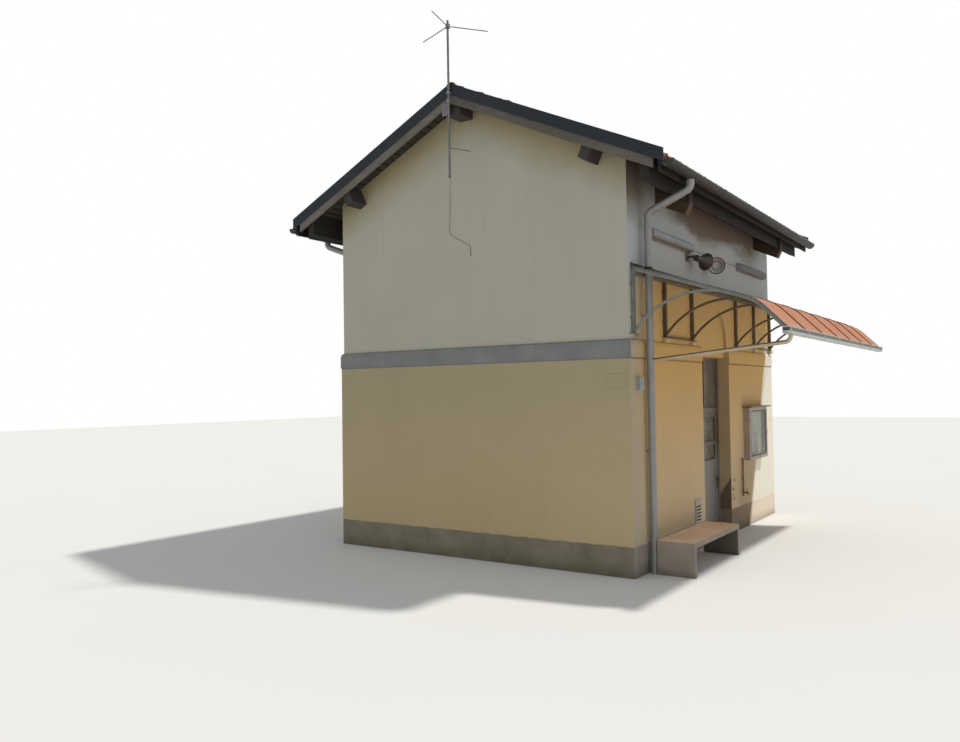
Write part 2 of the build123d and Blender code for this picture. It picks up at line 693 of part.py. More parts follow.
def pipe_bracket(height, wall_y, pipe_y):
    """Band round a downpipe with a stub into the wall."""
    ring = Cylinder(PIPE_RADIUS + BRACKET_SHEET, BRACKET_HEIGHT) - Cylinder(PIPE_RADIUS, BRACKET_HEIGHT)
    low, high = sorted((wall_y, pipe_y))
    stub = block(PIPE_AT - BRACKET_HEIGHT / 3, PIPE_AT + BRACKET_HEIGHT / 3, low, high,
                 height - BRACKET_HEIGHT / 3, height + BRACKET_HEIGHT / 3)
    stub -= Pos(PIPE_AT, pipe_y, height) * Cylinder(PIPE_RADIUS, BRACKET_HEIGHT)
    return Pos(PIPE_AT, pipe_y, height) * ring + stub


def pipe_brackets():
    brackets = []
    for height in BRACKET_HEIGHTS:
        face = 0 if height < COURSE_BOTTOM else UPPER_SETBACK
        brackets.append(pipe_bracket(height, face, PIPE_Y))
        brackets.append(pipe_bracket(height, WIDTH - face, WIDTH - PIPE_Y))
    return brackets


def canopy_line(x, depth):
    """Corners of the canopy's profile a given depth below its top: a straight fall from the
    wall, a bend and a steeper tail. The bend's middle comes between its two ends."""
    pitch = math.radians(CANOPY_PITCH)
    turn = math.radians(CANOPY_TURN)
    start = Vector(x, UPPER_SETBACK, CANOPY_TOP - depth / math.cos(pitch))
    knee = Vector(x, UPPER_SETBACK - math.cos(pitch) * CANOPY_STRAIGHT,
                  CANOPY_TOP - math.sin(pitch) * CANOPY_STRAIGHT)
    centre = knee + Vector(0, math.sin(pitch), -math.cos(pitch)) * CANOPY_RADIUS

    def on_bend(angle):
        lean = pitch + angle
        return centre + Vector(0, -math.sin(lean), math.cos(lean)) * (CANOPY_RADIUS - depth)

    lean = pitch + turn
    tail = Vector(0, -math.cos(lean), -math.sin(lean)) * CANOPY_TAIL
    return start, on_bend(0), on_bend(turn / 2), on_bend(turn), on_bend(turn) + tail


def canopy_layer(top, bottom, x0, x1):
    """Layer of the canopy between two depths."""
    a0, a1, a2, a3, a4 = canopy_line(x0, top)
    b0, b1, b2, b3, b4 = canopy_line(x0, bottom)
    outline = Wire([Edge.make_line(a0, a1), Edge.make_three_point_arc(a1, a2, a3),
                    Edge.make_line(a3, a4), Edge.make_line(a4, b4), Edge.make_line(b4, b3),
                    Edge.make_three_point_arc(b3, b2, b1), Edge.make_line(b1, b0),
                    Edge.make_line(b0, a0)])
    return extrude(Face(outline), amount=x1 - x0, dir=(1, 0, 0))


def canopy_end():
    """Outer edge of the sheet's top as (y, z)."""
    edge = canopy_line(0, 0)[-1]
    return edge.Y, edge.Z


def canopy_back_beam():
    top = CANOPY_TOP - BACK_BEAM_DROP
    return block(CANOPY_LEFT, CANOPY_RIGHT, UPPER_SETBACK - BACK_BEAM, UPPER_SETBACK,
                 top - BACK_BEAM, top)


def canopy_frame(at):
    """Wall post, curved top chord and curved brace, welded together."""
    beam_low = CANOPY_TOP - BACK_BEAM_DROP - BACK_BEAM
    half = CHORD_WIDTH / 2
    chord = canopy_layer(SHEET_THICKNESS, SHEET_THICKNESS + CHORD_DEPTH, at - half, at + half)
    chord -= canopy_back_beam()
    plumb = canopy_end()[0] + CHORD_PLUMB_CUT
    chord &= block(at - half, at + half, plumb, UPPER_SETBACK, 0, CANOPY_TOP)
    post_face = UPPER_SETBACK - POST_DEPTH
    post = block(at - POST_WIDTH / 2, at + POST_WIDTH / 2, post_face, UPPER_SETBACK, POST_FOOT, beam_low)
    foot = (at, post_face + BRACE_WIDTH / 2, POST_FOOT + BRACE_WIDTH)
    path = ThreePointArc(foot, (at, *BRACE_MID), (at, *BRACE_END))
    section = Plane(origin=foot, x_dir=(1, 0, 0), z_dir=path % 0) * Rectangle(BRACE_WIDTH, BRACE_WIDTH)
    brace = sweep(section, path=path)
    return chord + brace + post


def tie_bar(left, right):
    """Bar between the feet of two neighbouring posts."""
    y1 = UPPER_SETBACK
    return block(left + POST_WIDTH / 2, right - POST_WIDTH / 2, y1 - BRACE_WIDTH, y1,
                 POST_FOOT, POST_FOOT + BRACE_WIDTH)


def tied_frames(left, right):
    """Two neighbouring frames welded to the bar between their feet."""
    return canopy_frame(left) + tie_bar(left, right) + canopy_frame(right)


def canopy_frames():
    """Frames at both ends of the canopy and two tied pairs beside the door."""
    return [canopy_frame(FRAME_AT[0]), tied_frames(FRAME_AT[1], FRAME_AT[2]),
            canopy_frame(FRAME_AT[3]), tied_frames(FRAME_AT[4], FRAME_AT[5])]


def canopy_sheet():
    """Curved sheets, cut round the downpipe."""
    sheet = canopy_layer(0, SHEET_THICKNESS, CANOPY_LEFT, CANOPY_RIGHT)
    collar = Cylinder(PIPE_RADIUS + COLLAR_GAP, CANOPY_TOP / 2)
    return sheet - Pos(PIPE_AT, PIPE_Y, CANOPY_TOP) * collar


def canopy_seams():
    """Cover strips over the joints between the sheets."""
    count = int((CANOPY_RIGHT - SEAM_FIRST) / SEAM_PITCH) + 1
    strips = []
    for step in range(count):
        at = SEAM_FIRST + step * SEAM_PITCH
        strips.append(canopy_layer(-SEAM_HEIGHT, 0, at - SEAM_WIDTH / 2, at + SEAM_WIDTH / 2))
    return strips


def canopy_gutter_section():
    """Front, back, foot and top of the box gutter on the ends of the chords."""
    end_y, end_z = canopy_end()
    back = end_y + CHORD_PLUMB_CUT
    top = end_z - CANOPY_GUTTER_DROP
    return back - CANOPY_GUTTER_WIDTH, back, top - CANOPY_GUTTER_HEIGHT, top


def canopy_gutter():
    """Box gutter with closed ends; its left end stands out past the sheet."""
    front, back, low, top = canopy_gutter_section()
    left = CANOPY_LEFT - CANOPY_GUTTER_OVERHANG
    sheet = GUTTER_SHEET
    box = block(left, CANOPY_RIGHT, front, back, low, top)
    return box - block(left + sheet, CANOPY_RIGHT - sheet, front + sheet, back - sheet, low + sheet, top)


def canopy_drain():
    """Pipe from the canopy gutter back to the front downpipe."""
    front, back, low, _ = canopy_gutter_section()
    x = CANOPY_LEFT - CANOPY_GUTTER_OVERHANG + DRAIN_FROM_END
    y = (front + back) / 2
    pipe = round_pipe([(x, y, low), (x, y, low - DRAIN_DROP), (PIPE_AT, PIPE_Y, DRAIN_JOIN_HEIGHT)],
                      3 * DRAIN_RADIUS, DRAIN_RADIUS)
    return pipe - Pos(PIPE_AT, PIPE_Y, DRAIN_JOIN_HEIGHT) * Cylinder(PIPE_RADIUS, 8 * PIPE_RADIUS)


def canopy_pads():
    """Rendered pads on the wall under the feet of the canopy's posts."""
    pads = []
    for at in FRAME_AT:
        pad = block(at - PAD_WIDTH / 2, at + PAD_WIDTH / 2, UPPER_SETBACK - PAD_DEPTH, UPPER_SETBACK,
                    COURSE_TOP, POST_FOOT)
        pads.append(fillet(pad.edges().filter_by(Axis.X).group_by(Axis.Y)[0], PAD_DEPTH / 3))
    return pads


def wall_lamp(left):
    """Long enclosed lamp with a rounded cover."""
    y1 = UPPER_SETBACK
    lamp = block(left, left + LAMP_LENGTH, y1 - LAMP_DEPTH, y1, LAMP_BOTTOM, LAMP_BOTTOM + LAMP_HEIGHT)
    return fillet(lamp.edges().filter_by(Axis.X).group_by(Axis.Y)[0], LAMP_DEPTH / 3)


def wall_lamps():
    return [wall_lamp(left) for left in LAMP_AT]


def loudspeaker(at, turned):
    """Horn loudspeaker on a wall arm, turned along the platform."""
    driver = SPEAKER_LENGTH * 0.4
    outline = Polyline([(0, 0), (SPEAKER_THROAT, 0), (SPEAKER_THROAT, driver - SPEAKER_WALL),
                        (SPEAKER_RADIUS, SPEAKER_LENGTH),
                        (SPEAKER_RADIUS - SPEAKER_WALL, SPEAKER_LENGTH),
                        (SPEAKER_THROAT - SPEAKER_WALL, driver), (0, driver)], close=True)
    horn = revolve(make_face(Plane.XZ * outline), axis=Axis.Z)
    y = UPPER_SETBACK - SPEAKER_STANDOFF
    horn = Pos(at, y, SPEAKER_HEIGHT) * Rot(0, 0, turned) * Rot(90 + SPEAKER_TILT, 0, 0) * horn
    arm_z = SPEAKER_HEIGHT + SPEAKER_THROAT / 2
    arm = rod((at, y, arm_z), (at, UPPER_SETBACK, arm_z), SPEAKER_ARM_RADIUS)
    return horn + arm


def loudspeakers():
    return [loudspeaker(at, turned) for at, turned in zip(SPEAKER_AT, SPEAKER_TURNED)]


def notice_case():
    """Glazed notice case with a small hood."""
    x0 = NOTICE_LEFT
    x1 = x0 + NOTICE_WIDTH
    z0 = NOTICE_BOTTOM
    z1 = z0 + NOTICE_HEIGHT
    case = block(x0, x1, -NOTICE_DEPTH, 0, z0, z1)
    case -= block(x0 + NOTICE_BORDER, x1 - NOTICE_BORDER, -NOTICE_DEPTH, -NOTICE_DEPTH / 4,
                  z0 + NOTICE_BORDER, z1 - NOTICE_BORDER)
    hood = block(x0 - NOTICE_HOOD, x1 + NOTICE_HOOD, -NOTICE_DEPTH - NOTICE_HOOD, 0,
                 z1, z1 + NOTICE_HOOD_THICKNESS)
    return case + hood


def notice_glass():
    y0 = -NOTICE_DEPTH + GLASS_THICKNESS
    return block(NOTICE_LEFT + NOTICE_BORDER, NOTICE_LEFT + NOTICE_WIDTH - NOTICE_BORDER,
                 y0, y0 + GLASS_THICKNESS, NOTICE_BOTTOM + NOTICE_BORDER,
                 NOTICE_BOTTOM + NOTICE_HEIGHT - NOTICE_BORDER)


def vent_grille():
    """Slatted grille over the wall vent."""
    x1 = VENT_LEFT + VENT_WIDTH
    grille = block(VENT_LEFT, x1, -VENT_DEPTH, 0, VENT_BOTTOM, VENT_BOTTOM + VENT_HEIGHT)
    slots = int((VENT_HEIGHT - 2 * VENT_BORDER) / VENT_SLAT_PITCH)
    for step in range(slots):
        low = VENT_BOTTOM + VENT_BORDER + step * VENT_SLAT_PITCH
        grille -= block(VENT_LEFT + VENT_BORDER, x1 - VENT_BORDER, -VENT_DEPTH, -VENT_DEPTH / 3,
                        low, low + VENT_SLAT_PITCH / 2)
    return grille


def meter_box():
    return block(BOX_LEFT, BOX_LEFT + BOX_WIDTH, -BOX_DEPTH, 0, BOX_BOTTOM, BOX_BOTTOM + BOX_HEIGHT)


def wall_tap():
    """Thin water pipe on the wall with a tap."""
    y = -TAP_WALL_GAP - TAP_RADIUS
    pipe = round_pipe([(TAP_AT, 0, TAP_TOP), (TAP_AT, y, TAP_TOP), (TAP_AT, y, TAP_BOTTOM)],
                      TAP_WALL_GAP, TAP_RADIUS)
    spout = rod((TAP_AT, 0, TAP_SPOUT_HEIGHT), (TAP_AT, y - TAP_SPOUT, TAP_SPOUT_HEIGHT), TAP_RADIUS * 0.8)
    return pipe + spout


def bench():
    """Bench cast in one piece: a seat slab between two end panels."""
    right = BENCH_LEFT + BENCH_LENGTH
    front = BENCH_BACK - BENCH_DEPTH
    casting = block(BENCH_LEFT, right, front, BENCH_BACK, 0, BENCH_HEIGHT)
    casting -= block(BENCH_LEFT + BENCH_END, right - BENCH_END, front, BENCH_BACK,
                     0, BENCH_HEIGHT - BENCH_SLAB)
    return fillet(casting.edges().filter_by(Axis.X).group_by(Axis.Z)[-1].group_by(Axis.Y)[0], BENCH_ROUND)


def mast_x():
    return -VERGE_LEFT - FLASHING_THICKNESS - MAST_STANDOFF - MAST_RADIUS


def antenna():
    """Mast with a stub arm near its foot, and three rods in a hub near its top."""
    x = mast_x()
    stub_z = RIDGE_HEIGHT - STUB_BELOW_RIDGE
    mast = rod((x, RIDGE_Y, MAST_BOTTOM), (x, RIDGE_Y, MAST_TOP), MAST_RADIUS)
    mast += rod((x, RIDGE_Y, stub_z), (x, RIDGE_Y - STUB_REACH, stub_z - STUB_FALL), MAST_RADIUS / 2)
    z = MAST_TOP - HUB_BELOW_TOP
    mast += Pos(x, RIDGE_Y, z) * Cylinder(HUB_RADIUS, HUB_HEIGHT)
    for step in range(ROD_COUNT):
        turn = math.radians(ROD_FIRST_ANGLE + step * 360 / ROD_COUNT)
        mast += rod((x, RIDGE_Y, z), (x + ROD_LENGTH * math.cos(turn), RIDGE_Y + ROD_LENGTH * math.sin(turn),
                                      z - ROD_DROP), ROD_RADIUS)
    return mast


def mast_clamp(height):
    """Block clamp that holds the mast off the verge flashing or the barge board under it."""
    half = MAST_RADIUS + CLAMP_SHEET
    low = height - CLAMP_HEIGHT / 2
    seat = -VERGE_LEFT
    if low > roof_z(RIDGE_Y, FLASHING_DEPTH):
        seat -= FLASHING_THICKNESS
    clamp = block(mast_x() - half, seat, RIDGE_Y - half, RIDGE_Y + half, low, low + CLAMP_HEIGHT)
    return clamp - Pos(mast_x(), RIDGE_Y, height) * Cylinder(MAST_RADIUS, CLAMP_HEIGHT)


def mast_clamps():
    return [mast_clamp(RIDGE_HEIGHT - drop) for drop in MAST_CLAMPS_BELOW_RIDGE]


def save(name, made):
    """Move a piece to the footprint's centre and write it as parts/NAME.step."""
    solids = []
    for shape in made if isinstance(made, list) else [made]:
        solids.extend(shape.solids())
    moved = [Pos(-LENGTH / 2, -WIDTH / 2, 0) * solid for solid in solids]
    shape = moved[0] if len(moved) == 1 else Compound(children=moved)
    export_step(shape, f"parts/{name}.step")


def main():
    os.makedirs("parts", exist_ok=True)
    x0, x1 = roof_ends()
    save("front_wall_left", front_wall_left())
    save("front_wall_right", front_wall_right())
    save("front_wall_over_door", front_wall_over_door())
    save("door_tympanum", door_tympanum())
    save("back_wall", back_wall())
    save("left_gable_wall", gable_wall(0, 1))
    save("right_gable_wall", gable_wall(LENGTH, -1))
    save("long_string_courses", [string_course_front(), string_course_back()])
    save("gable_string_courses", [string_course_gable(0, -1), string_course_gable(LENGTH, 1)])
    save("floor_slab", floor_slab())
    save("door_sill", door_sill())
    save("door_frame", door_frame())
    save("door_side_panel", door_side_panel())
    save("door_leaf", door_leaf())
    save("door_glass", door_glass())
    save("door_handle", door_handle())
    save("transom_glass", transom_glass())
    save("roof_beams", [ridge_beam()] + wall_plates())
    save("eave_beams", eave_timbers())
    save("front_roof_boards", roof_boards(False))
    save("rear_roof_boards", roof_boards(True))
    save("front_roof_tiles", roof_tiles(False))
    save("rear_roof_tiles", roof_tiles(True))
    save("ridge_tiles", ridge_tiles())
    save("verge_flashings", [verge_flashing(x0 - FLASHING_THICKNESS, x0),
                             verge_flashing(x1, x1 + FLASHING_THICKNESS)])
    save("barge_boards", [barge_boards(x0, x0 + BARGE_THICKNESS),
                          barge_boards(x1 - BARGE_THICKNESS, x1)])
    save("eave_fascias", [eave_fascia(front_fascia_y(), 1), eave_fascia(rear_fascia_y(), -1)])
    save("eave_gutters", [front_gutter(), rear_gutter()])
    save("downpipes", [front_downpipe(), rear_downpipe()])
    save("pipe_brackets", pipe_brackets())
    save("canopy_back_beam", canopy_back_beam())
    save("canopy_frames", canopy_frames())
    save("canopy_pads", canopy_pads())
    save("canopy_sheet", canopy_sheet())
    save("canopy_seams", canopy_seams())
    save("canopy_gutter", canopy_gutter())
    save("canopy_drain", canopy_drain())
    save("wall_lamps", wall_lamps())
    save("loudspeakers", loudspeakers())
    save("notice_case", notice_case())
    save("notice_glass", notice_glass())
    save("vent_grille", vent_grille())
    save("meter_box", meter_box())
    save("wall_tap", wall_tap())
    save("bench", bench())
    save("antenna", antenna())
    save("mast_clamps", mast_clamps())


main()
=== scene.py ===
import math
import random

import bmesh
import bpy
from mathutils import Matrix, Vector


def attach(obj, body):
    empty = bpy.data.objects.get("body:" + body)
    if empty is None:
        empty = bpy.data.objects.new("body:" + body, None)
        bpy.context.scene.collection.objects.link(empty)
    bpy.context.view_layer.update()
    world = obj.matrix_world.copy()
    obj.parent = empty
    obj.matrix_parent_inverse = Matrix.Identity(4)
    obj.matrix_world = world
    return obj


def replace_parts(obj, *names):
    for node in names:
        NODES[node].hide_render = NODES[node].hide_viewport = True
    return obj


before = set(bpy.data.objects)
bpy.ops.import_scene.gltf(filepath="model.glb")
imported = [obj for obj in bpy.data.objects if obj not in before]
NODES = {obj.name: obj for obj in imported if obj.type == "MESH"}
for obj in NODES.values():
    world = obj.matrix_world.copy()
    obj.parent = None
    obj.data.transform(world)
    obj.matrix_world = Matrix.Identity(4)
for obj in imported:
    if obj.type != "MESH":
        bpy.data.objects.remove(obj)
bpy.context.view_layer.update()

# Shapes are in metres from the front left ground corner and are moved to the frame's origin by at().
# Paints are placed in the frame's own coordinates.
LENGTH = 6.6
WIDTH = 5.08
SHIFT = Vector((-LENGTH / 2, -WIDTH / 2, 0))
RIDGE = 6.82
PITCH = math.radians(25.3)
EAVE_FRONT = 0.64
EAVE_REAR = 0.7
COVER_LEFT = -0.358
COVER_RIGHT = LENGTH + 0.45
COVERING = 0.07
FACE = 0.03

TILE_WIDTH = 0.2315
TILE_STEP = 0.3198
TILE_RISE = 0.03
TILE_SAMPLES = (0, 0.08, 0.2, 0.32, 0.44, 0.55, 0.64, 0.73, 0.82, 0.91)
BOARD_WIDTH = 0.125

PIPE_X = 0.45
PIPE_OFF_WALL = 0.08
MAST_X = -0.408

CANOPY_PITCH = math.radians(18.4)
CANOPY_TURN = math.radians(27.2)
CANOPY_TOP = 4.03
CANOPY_STRAIGHT = 1.54
CANOPY_RADIUS = 0.58
CANOPY_TAIL = 0.37
CANOPY_KNEE = (FACE - math.cos(CANOPY_PITCH) * CANOPY_STRAIGHT,
    CANOPY_TOP - math.sin(CANOPY_PITCH) * CANOPY_STRAIGHT)
CANOPY_REACH = CANOPY_STRAIGHT + CANOPY_RADIUS * CANOPY_TURN + CANOPY_TAIL
CANOPY_LEFT = 0.1
CANOPY_RIGHT = 6.57
CANOPY_FRAMES = (0.13, 1.21, 2.29, 4.44, 5.51, 6.54)

# Camera: a pinhole solved from the wall's edges.
YAW = 0.6002
TILT = 0.0271
ROLL = -0.0151
LENS = 30.905
EYE = (-13.114, -6.91, 2.4)

FLOOR_SIZE = 60
SUN_DIRECTION = (-0.39, 0.37, -0.843)

UP = (0, 0, 1)
OUT = (0, -1, 0)
LEFT = (-1, 0, 0)
TUBE_SIDE = Vector((0.31, 0.17, 0.93))


def at(x, y, z):
    return Vector((x, y, z)) + SHIFT


def add_object(name, data):
    made = bpy.data.objects.new(name, data)
    bpy.context.scene.collection.objects.link(made)
    return made


def make_camera():
    forward = Vector((math.cos(YAW) * math.cos(TILT), math.sin(YAW) * math.cos(TILT), math.sin(TILT)))
    right = Vector((math.sin(YAW), -math.cos(YAW), 0))
    up = right.cross(forward)
    turned_right = right * math.cos(ROLL) + up * math.sin(ROLL)
    turned_up = up * math.cos(ROLL) - right * math.sin(ROLL)
    data = bpy.data.cameras.new("photo_camera")
    data.lens = LENS
    data.sensor_width = 36
    data.clip_end = 200
    camera = add_object("photo_camera", data)
    axes = Matrix((turned_right, turned_up, -forward)).transposed().to_4x4()
    axes.translation = Vector(EYE)
    camera.matrix_world = axes
    bpy.context.scene.camera = camera


def tone(*display):
    """Linear colour from 0 to 255 display values."""
    parts = [value / 255 for value in display]
    return [part / 12.92 if part <= 0.04045 else ((part + 0.055) / 1.055) ** 2.4 for part in parts] + [1]


class Nodes:
    """Builds a node tree. A tuple given to a socket is a colour in display values, a list is a plain vector."""

    def __init__(self, tree):
        self.tree = tree

    def feed(self, socket, value):
        if isinstance(value, bpy.types.NodeSocket):
            self.tree.links.new(value, socket)
        else:
            socket.default_value = tone(*value) if isinstance(value, tuple) else value

    def node(self, kind, inputs, **settings):
        made = self.tree.nodes.new(kind)
        for key, value in settings.items():
            setattr(made, key, value)
        for key, value in inputs.items():
            self.feed(made.inputs[key], value)
        return made.outputs

    def math(self, operation, a, b=0, c=0):
        return self.node("ShaderNodeMath", {0: a, 1: b, 2: c}, operation=operation)[0]


class Paint(Nodes):
    """Material in the frame's own coordinates."""

    def __init__(self, name, roughness, metallic=0, specular=0.5):
        self.material = bpy.data.materials.new(name)
        self.material.use_nodes = True
        super().__init__(self.material.node_tree)
        self.shader = self.tree.nodes["Principled BSDF"].inputs
        self.shader["Roughness"].default_value = self.roughness = roughness
        self.shader["Metallic"].default_value = metallic
        self.shader["Specular IOR Level"].default_value = specular
        self.place = self.node("ShaderNodeTexCoord", {})["Object"]
        self.x, self.y, self.z = self.node("ShaderNodeSeparateXYZ", {0: self.place})
        self.colour = None
        self.normal = None

    def times(self, first, *others):
        for value in others:
            first = self.math("MULTIPLY", first, value)
        return first

    def scaled(self, value, factor, offset):
        return self.math("MULTIPLY_ADD", value, factor, offset)

    def inverse(self, value):
        return self.math("SUBTRACT", 1, value)

    def above(self, value, low, high):
        """0 below low, 1 above high, straight between."""
        inputs = {"Value": value, "From Min": low, "From Max": high}
        return self.node("ShaderNodeMapRange", inputs)["Result"]

    def under(self, value, low, high):
        """1 below low, 0 above high, straight between."""
        return self.inverse(self.above(value, low, high))

    def band(self, value, low, high, soft):
        return self.times(self.above(value, low - soft, low + soft), self.under(value, high - soft, high + soft))

    def below_roof(self):
        """Plumb distance below the line of the roof."""
        line = self.scaled(self.math("ABSOLUTE", self.y), -math.tan(PITCH), RIDGE)
        return self.math("SUBTRACT", line, self.z)

    def facing(self):
        """The surface's own direction as three sockets."""
        normal = self.node("ShaderNodeNewGeometry", {})["True Normal"]
        return self.node("ShaderNodeSeparateXYZ", {0: normal})

    def noise(self, scale, detail=4, rough=0.55, stretch=None):
        place = self.place
        if stretch:
            place = self.node("ShaderNodeMapping", {"Vector": place, "Scale": list(stretch)})["Vector"]
        inputs = {"Vector": place, "Scale": scale, "Detail": detail, "Roughness": rough}
        return self.node("ShaderNodeTexNoise", inputs)["Fac"]

    def clouds(self, low, high, *noise):
        """Noise cut to soft patches between two levels."""
        return self.above(self.noise(*noise), low, high)

    def ribs(self, scale):
        return self.node("ShaderNodeTexWave", {"Vector": self.place, "Scale": scale})["Fac"]

    def mix(self, factor, a, b, kind="MIX"):
        return self.node("ShaderNodeMix", {0: factor, 6: a, 7: b}, data_type="RGBA", blend_type=kind)[2]

    def over(self, made, colour, *factors):
        """Lays a colour over another by the product of the factors."""
        return self.mix(self.times(*factors), made, colour)

    def tint(self, colour, *factors):
        self.colour = self.over(self.colour, colour, *factors)

    def speckled(self, colour, other, scale=4, amount=0.6, fine_scale=120, fine=0.15):
        """Base colour with broad clouds of a second tone and a fine dark grain."""
        made = self.over(colour, other, self.clouds(0.35, 0.68, scale, 5, 0.6), amount)
        dark = self.mix(1, made, [0.78, 0.78, 0.78, 1], "MULTIPLY")
        return self.over(made, dark, self.clouds(0.3, 0.7, fine_scale, 3, 0.6), fine)

    def base(self, *values):
        """Starts the colour as a speckled one."""
        self.colour = self.speckled(*values)

    def stain(self, dirt, strength, low=0.52, high=0.75, scale=2.2):
        """Streaks of dirt that run down the piece."""
        self.tint(dirt, self.clouds(low, high, scale, 5, 0.65, (3, 3, 0.35)), strength)

    def fibre(self, along):
        """Grain of timber that runs along one axis."""
        return self.noise(2.2, 6, 0.6, [0.6 if axis == along else 14 for axis in "xyz"])

    def grained(self, fibre, colour, other):
        return self.mix(self.above(fibre, 0.32, 0.68), colour, other)

    def bump(self, height, strength, distance):
        inputs = {"Height": height, "Strength": strength, "Distance": distance}
        if self.normal is not None:
            inputs["Normal"] = self.normal
        self.normal = self.node("ShaderNodeBump", inputs)["Normal"]

    def pitted(self, strength=0.12, distance=0.001, scale=70, detail=3, rough=0.55):
        self.bump(self.noise(scale, detail, rough), strength, distance)


def render_wall(mat):
    """Rendered masonry: grey plinth, ochre lower wall, paler upper wall, with painted warm light under the canopy
    and a painted sunlit strip at the right end.
    """
    wobble = mat.scaled(mat.noise(7, 3), 0.03, mat.z)
    ragged = mat.scaled(mat.noise(1.5, 5, 0.6, (0.45, 1, 1.3)), 0.8, -0.4)
    sides = mat.facing()
    outward = mat.under(sides[1], -0.6, -0.3)
    in_doorway = mat.times(mat.band(mat.x, -0.66, 0.7, 0.01), mat.under(mat.y, -2.24, -2.2))
    forward = mat.under(mat.y, -2.56, -2.548)
    front = mat.math("MAXIMUM", forward, mat.math("MAXIMUM", outward, in_doorway))
    front = mat.times(front, mat.under(mat.y, -2, -1.9))
    # On the track side the upper wall is painted a cooler blue-grey than on the gables, as painted shade under the
    # eave.
    upper = mat.mix(front, (188, 186, 172), (188, 197, 197))
    lower = mat.mix(mat.above(mat.z, 0.5, 2.6), (206, 186, 144), (178, 165, 134))
    lower = mat.mix(front, lower, (184, 174, 154))
    mat.colour = mat.mix(mat.above(mat.z, 3.04, 3.12), lower, upper)
    # Under the canopy the track side gets painted light: a deep ochre glow, as of sun through the salmon sheet, that
    # fades towards the ground and the left corner.
    ochre = mat.mix(mat.above(mat.z, 0.5, 2.9), (224, 200, 162), (221, 176, 104))
    sheltered = mat.under(mat.scaled(ragged, 0.3, mat.z), 3.86, 4)
    from_corner = mat.scaled(mat.above(mat.x, -3.2, -2.7), 0.8, 0.2)
    mat.tint(ochre, front, sheltered, from_corner, 0.92)
    # The doorway's reveals and the foot of the wall right of it are duller, and so is the end of the pad.
    reveal = mat.times(mat.math("ABSOLUTE", sides[0]), in_doorway)
    foot = mat.times(mat.above(mat.x, 0.7, 1.2), mat.under(mat.z, 0.9, 1.9))
    mat.tint((178, 156, 122), mat.math("MAXIMUM", reveal, foot), 0.75)
    end_pad = mat.times(mat.under(mat.x, -3.08, -3.06), mat.band(mat.z, 3.02, 3.15, 0.01))
    mat.tint((146, 126, 100), forward, end_pad, 0.8)
    # The right end is painted as sunlit: pale beside the slanted edge of the canopy's shadow.
    slant = mat.scaled(mat.z, -0.4, mat.x)
    sunlit_strip = mat.times(mat.above(slant, 1.61, 1.73), mat.under(mat.z, 3.1, 3.3), outward)
    mat.tint((248, 243, 226), front, sunlit_strip)
    # Brown close under the eave, deeper beside the left corner, with a ragged edge.
    height = mat.math("ADD", mat.z, ragged)
    under_eave = mat.times(mat.above(height, 4.72, 4.92), mat.band(mat.x, -1.75, 2.45, 0.35))
    corner = mat.times(mat.above(height, 4.62, 5), mat.under(mat.x, -2.9, -2.3))
    mat.tint((108, 86, 62), front, mat.math("MAXIMUM", under_eave, corner), 0.85)
    # A yellow-brown tint close under the verges.
    under_verge = mat.under(mat.scaled(ragged, 0.7, mat.below_roof()), 0.22, 0.82)
    mat.tint((164, 144, 92), mat.inverse(front), under_verge, 0.72)
    mat.tint((150, 142, 118), mat.clouds(0.38, 0.66, 0.9, 6, 0.62), 0.1)
    mat.stain((120, 112, 92), 0.07)
    doorway_stains(mat, ragged)
    # Painted shadow line in the groove under the string course.
    groove_shadow = mat.times(mat.band(mat.z, 2.816, 2.84, 0.003), outward)
    mat.tint((104, 82, 58), groove_shadow, 0.6)
    # The plinth is grey on the gables, brown on the track side and pale in the painted sunlit strip.
    grey = mat.speckled((154, 146, 126), (122, 115, 98), 3, 0.8, 60, 0.12)
    near = mat.above(mat.x, -0.5, 0.5)
    brown = mat.speckled(mat.mix(near, (172, 163, 152), (152, 133, 112)),
        mat.mix(near, (144, 136, 126), (124, 107, 88)), 3, 0.8, 60, 0.12)
    plinth = mat.mix(front, grey, mat.mix(sunlit_strip, brown, (238, 220, 200)))
    mat.colour = mat.mix(mat.under(wobble, 0.405, 0.422), mat.colour, plinth)
    mat.tint((74, 68, 58), mat.under(wobble, 0.02, 0.2), 0.45)
    grain = mat.noise(55, 4, 0.6)
    mat.tint((110, 104, 88), mat.above(grain, 0.35, 0.7), 0.1)
    mat.bump(grain, 0.35, 0.004)
    mat.pitted(0.25, 0.02, 4, 4)


def doorway_stains(mat, ragged):
    """Dark brown in the foot of the far reveal below a slanted edge, and rust beside the doorway's right edge."""
    slanted = mat.scaled(mat.y, 1.3, mat.scaled(ragged, 0.25, mat.z))
    reveal = mat.times(mat.band(mat.x, 0.655, 0.7, 0.004), mat.band(mat.y, -2.535, -2.2, 0.004))
    mat.tint((92, 72, 66), reveal, mat.under(slanted, -2.42, -2.34), 0.85)
    rust = mat.times(mat.band(mat.x, 0.68, 0.86, 0.04), mat.band(mat.z, 0.5, 1.06, 0.1),
        mat.under(mat.y, -2.53, -2.5))
    mat.tint((112, 70, 50), rust, mat.clouds(0.5, 0.6, 13, 4, 0.6), 0.8)


def wood(mat, colour, other, along):
    """Weathered timber with grain along one axis."""
    fibre = mat.fibre(along)
    mat.colour = mat.grained(fibre, colour, other)
    mat.tint((60, 52, 44), mat.clouds(0.4, 0.65, 1.6), 0.35)
    mat.bump(fibre, 0.4, 0.004)


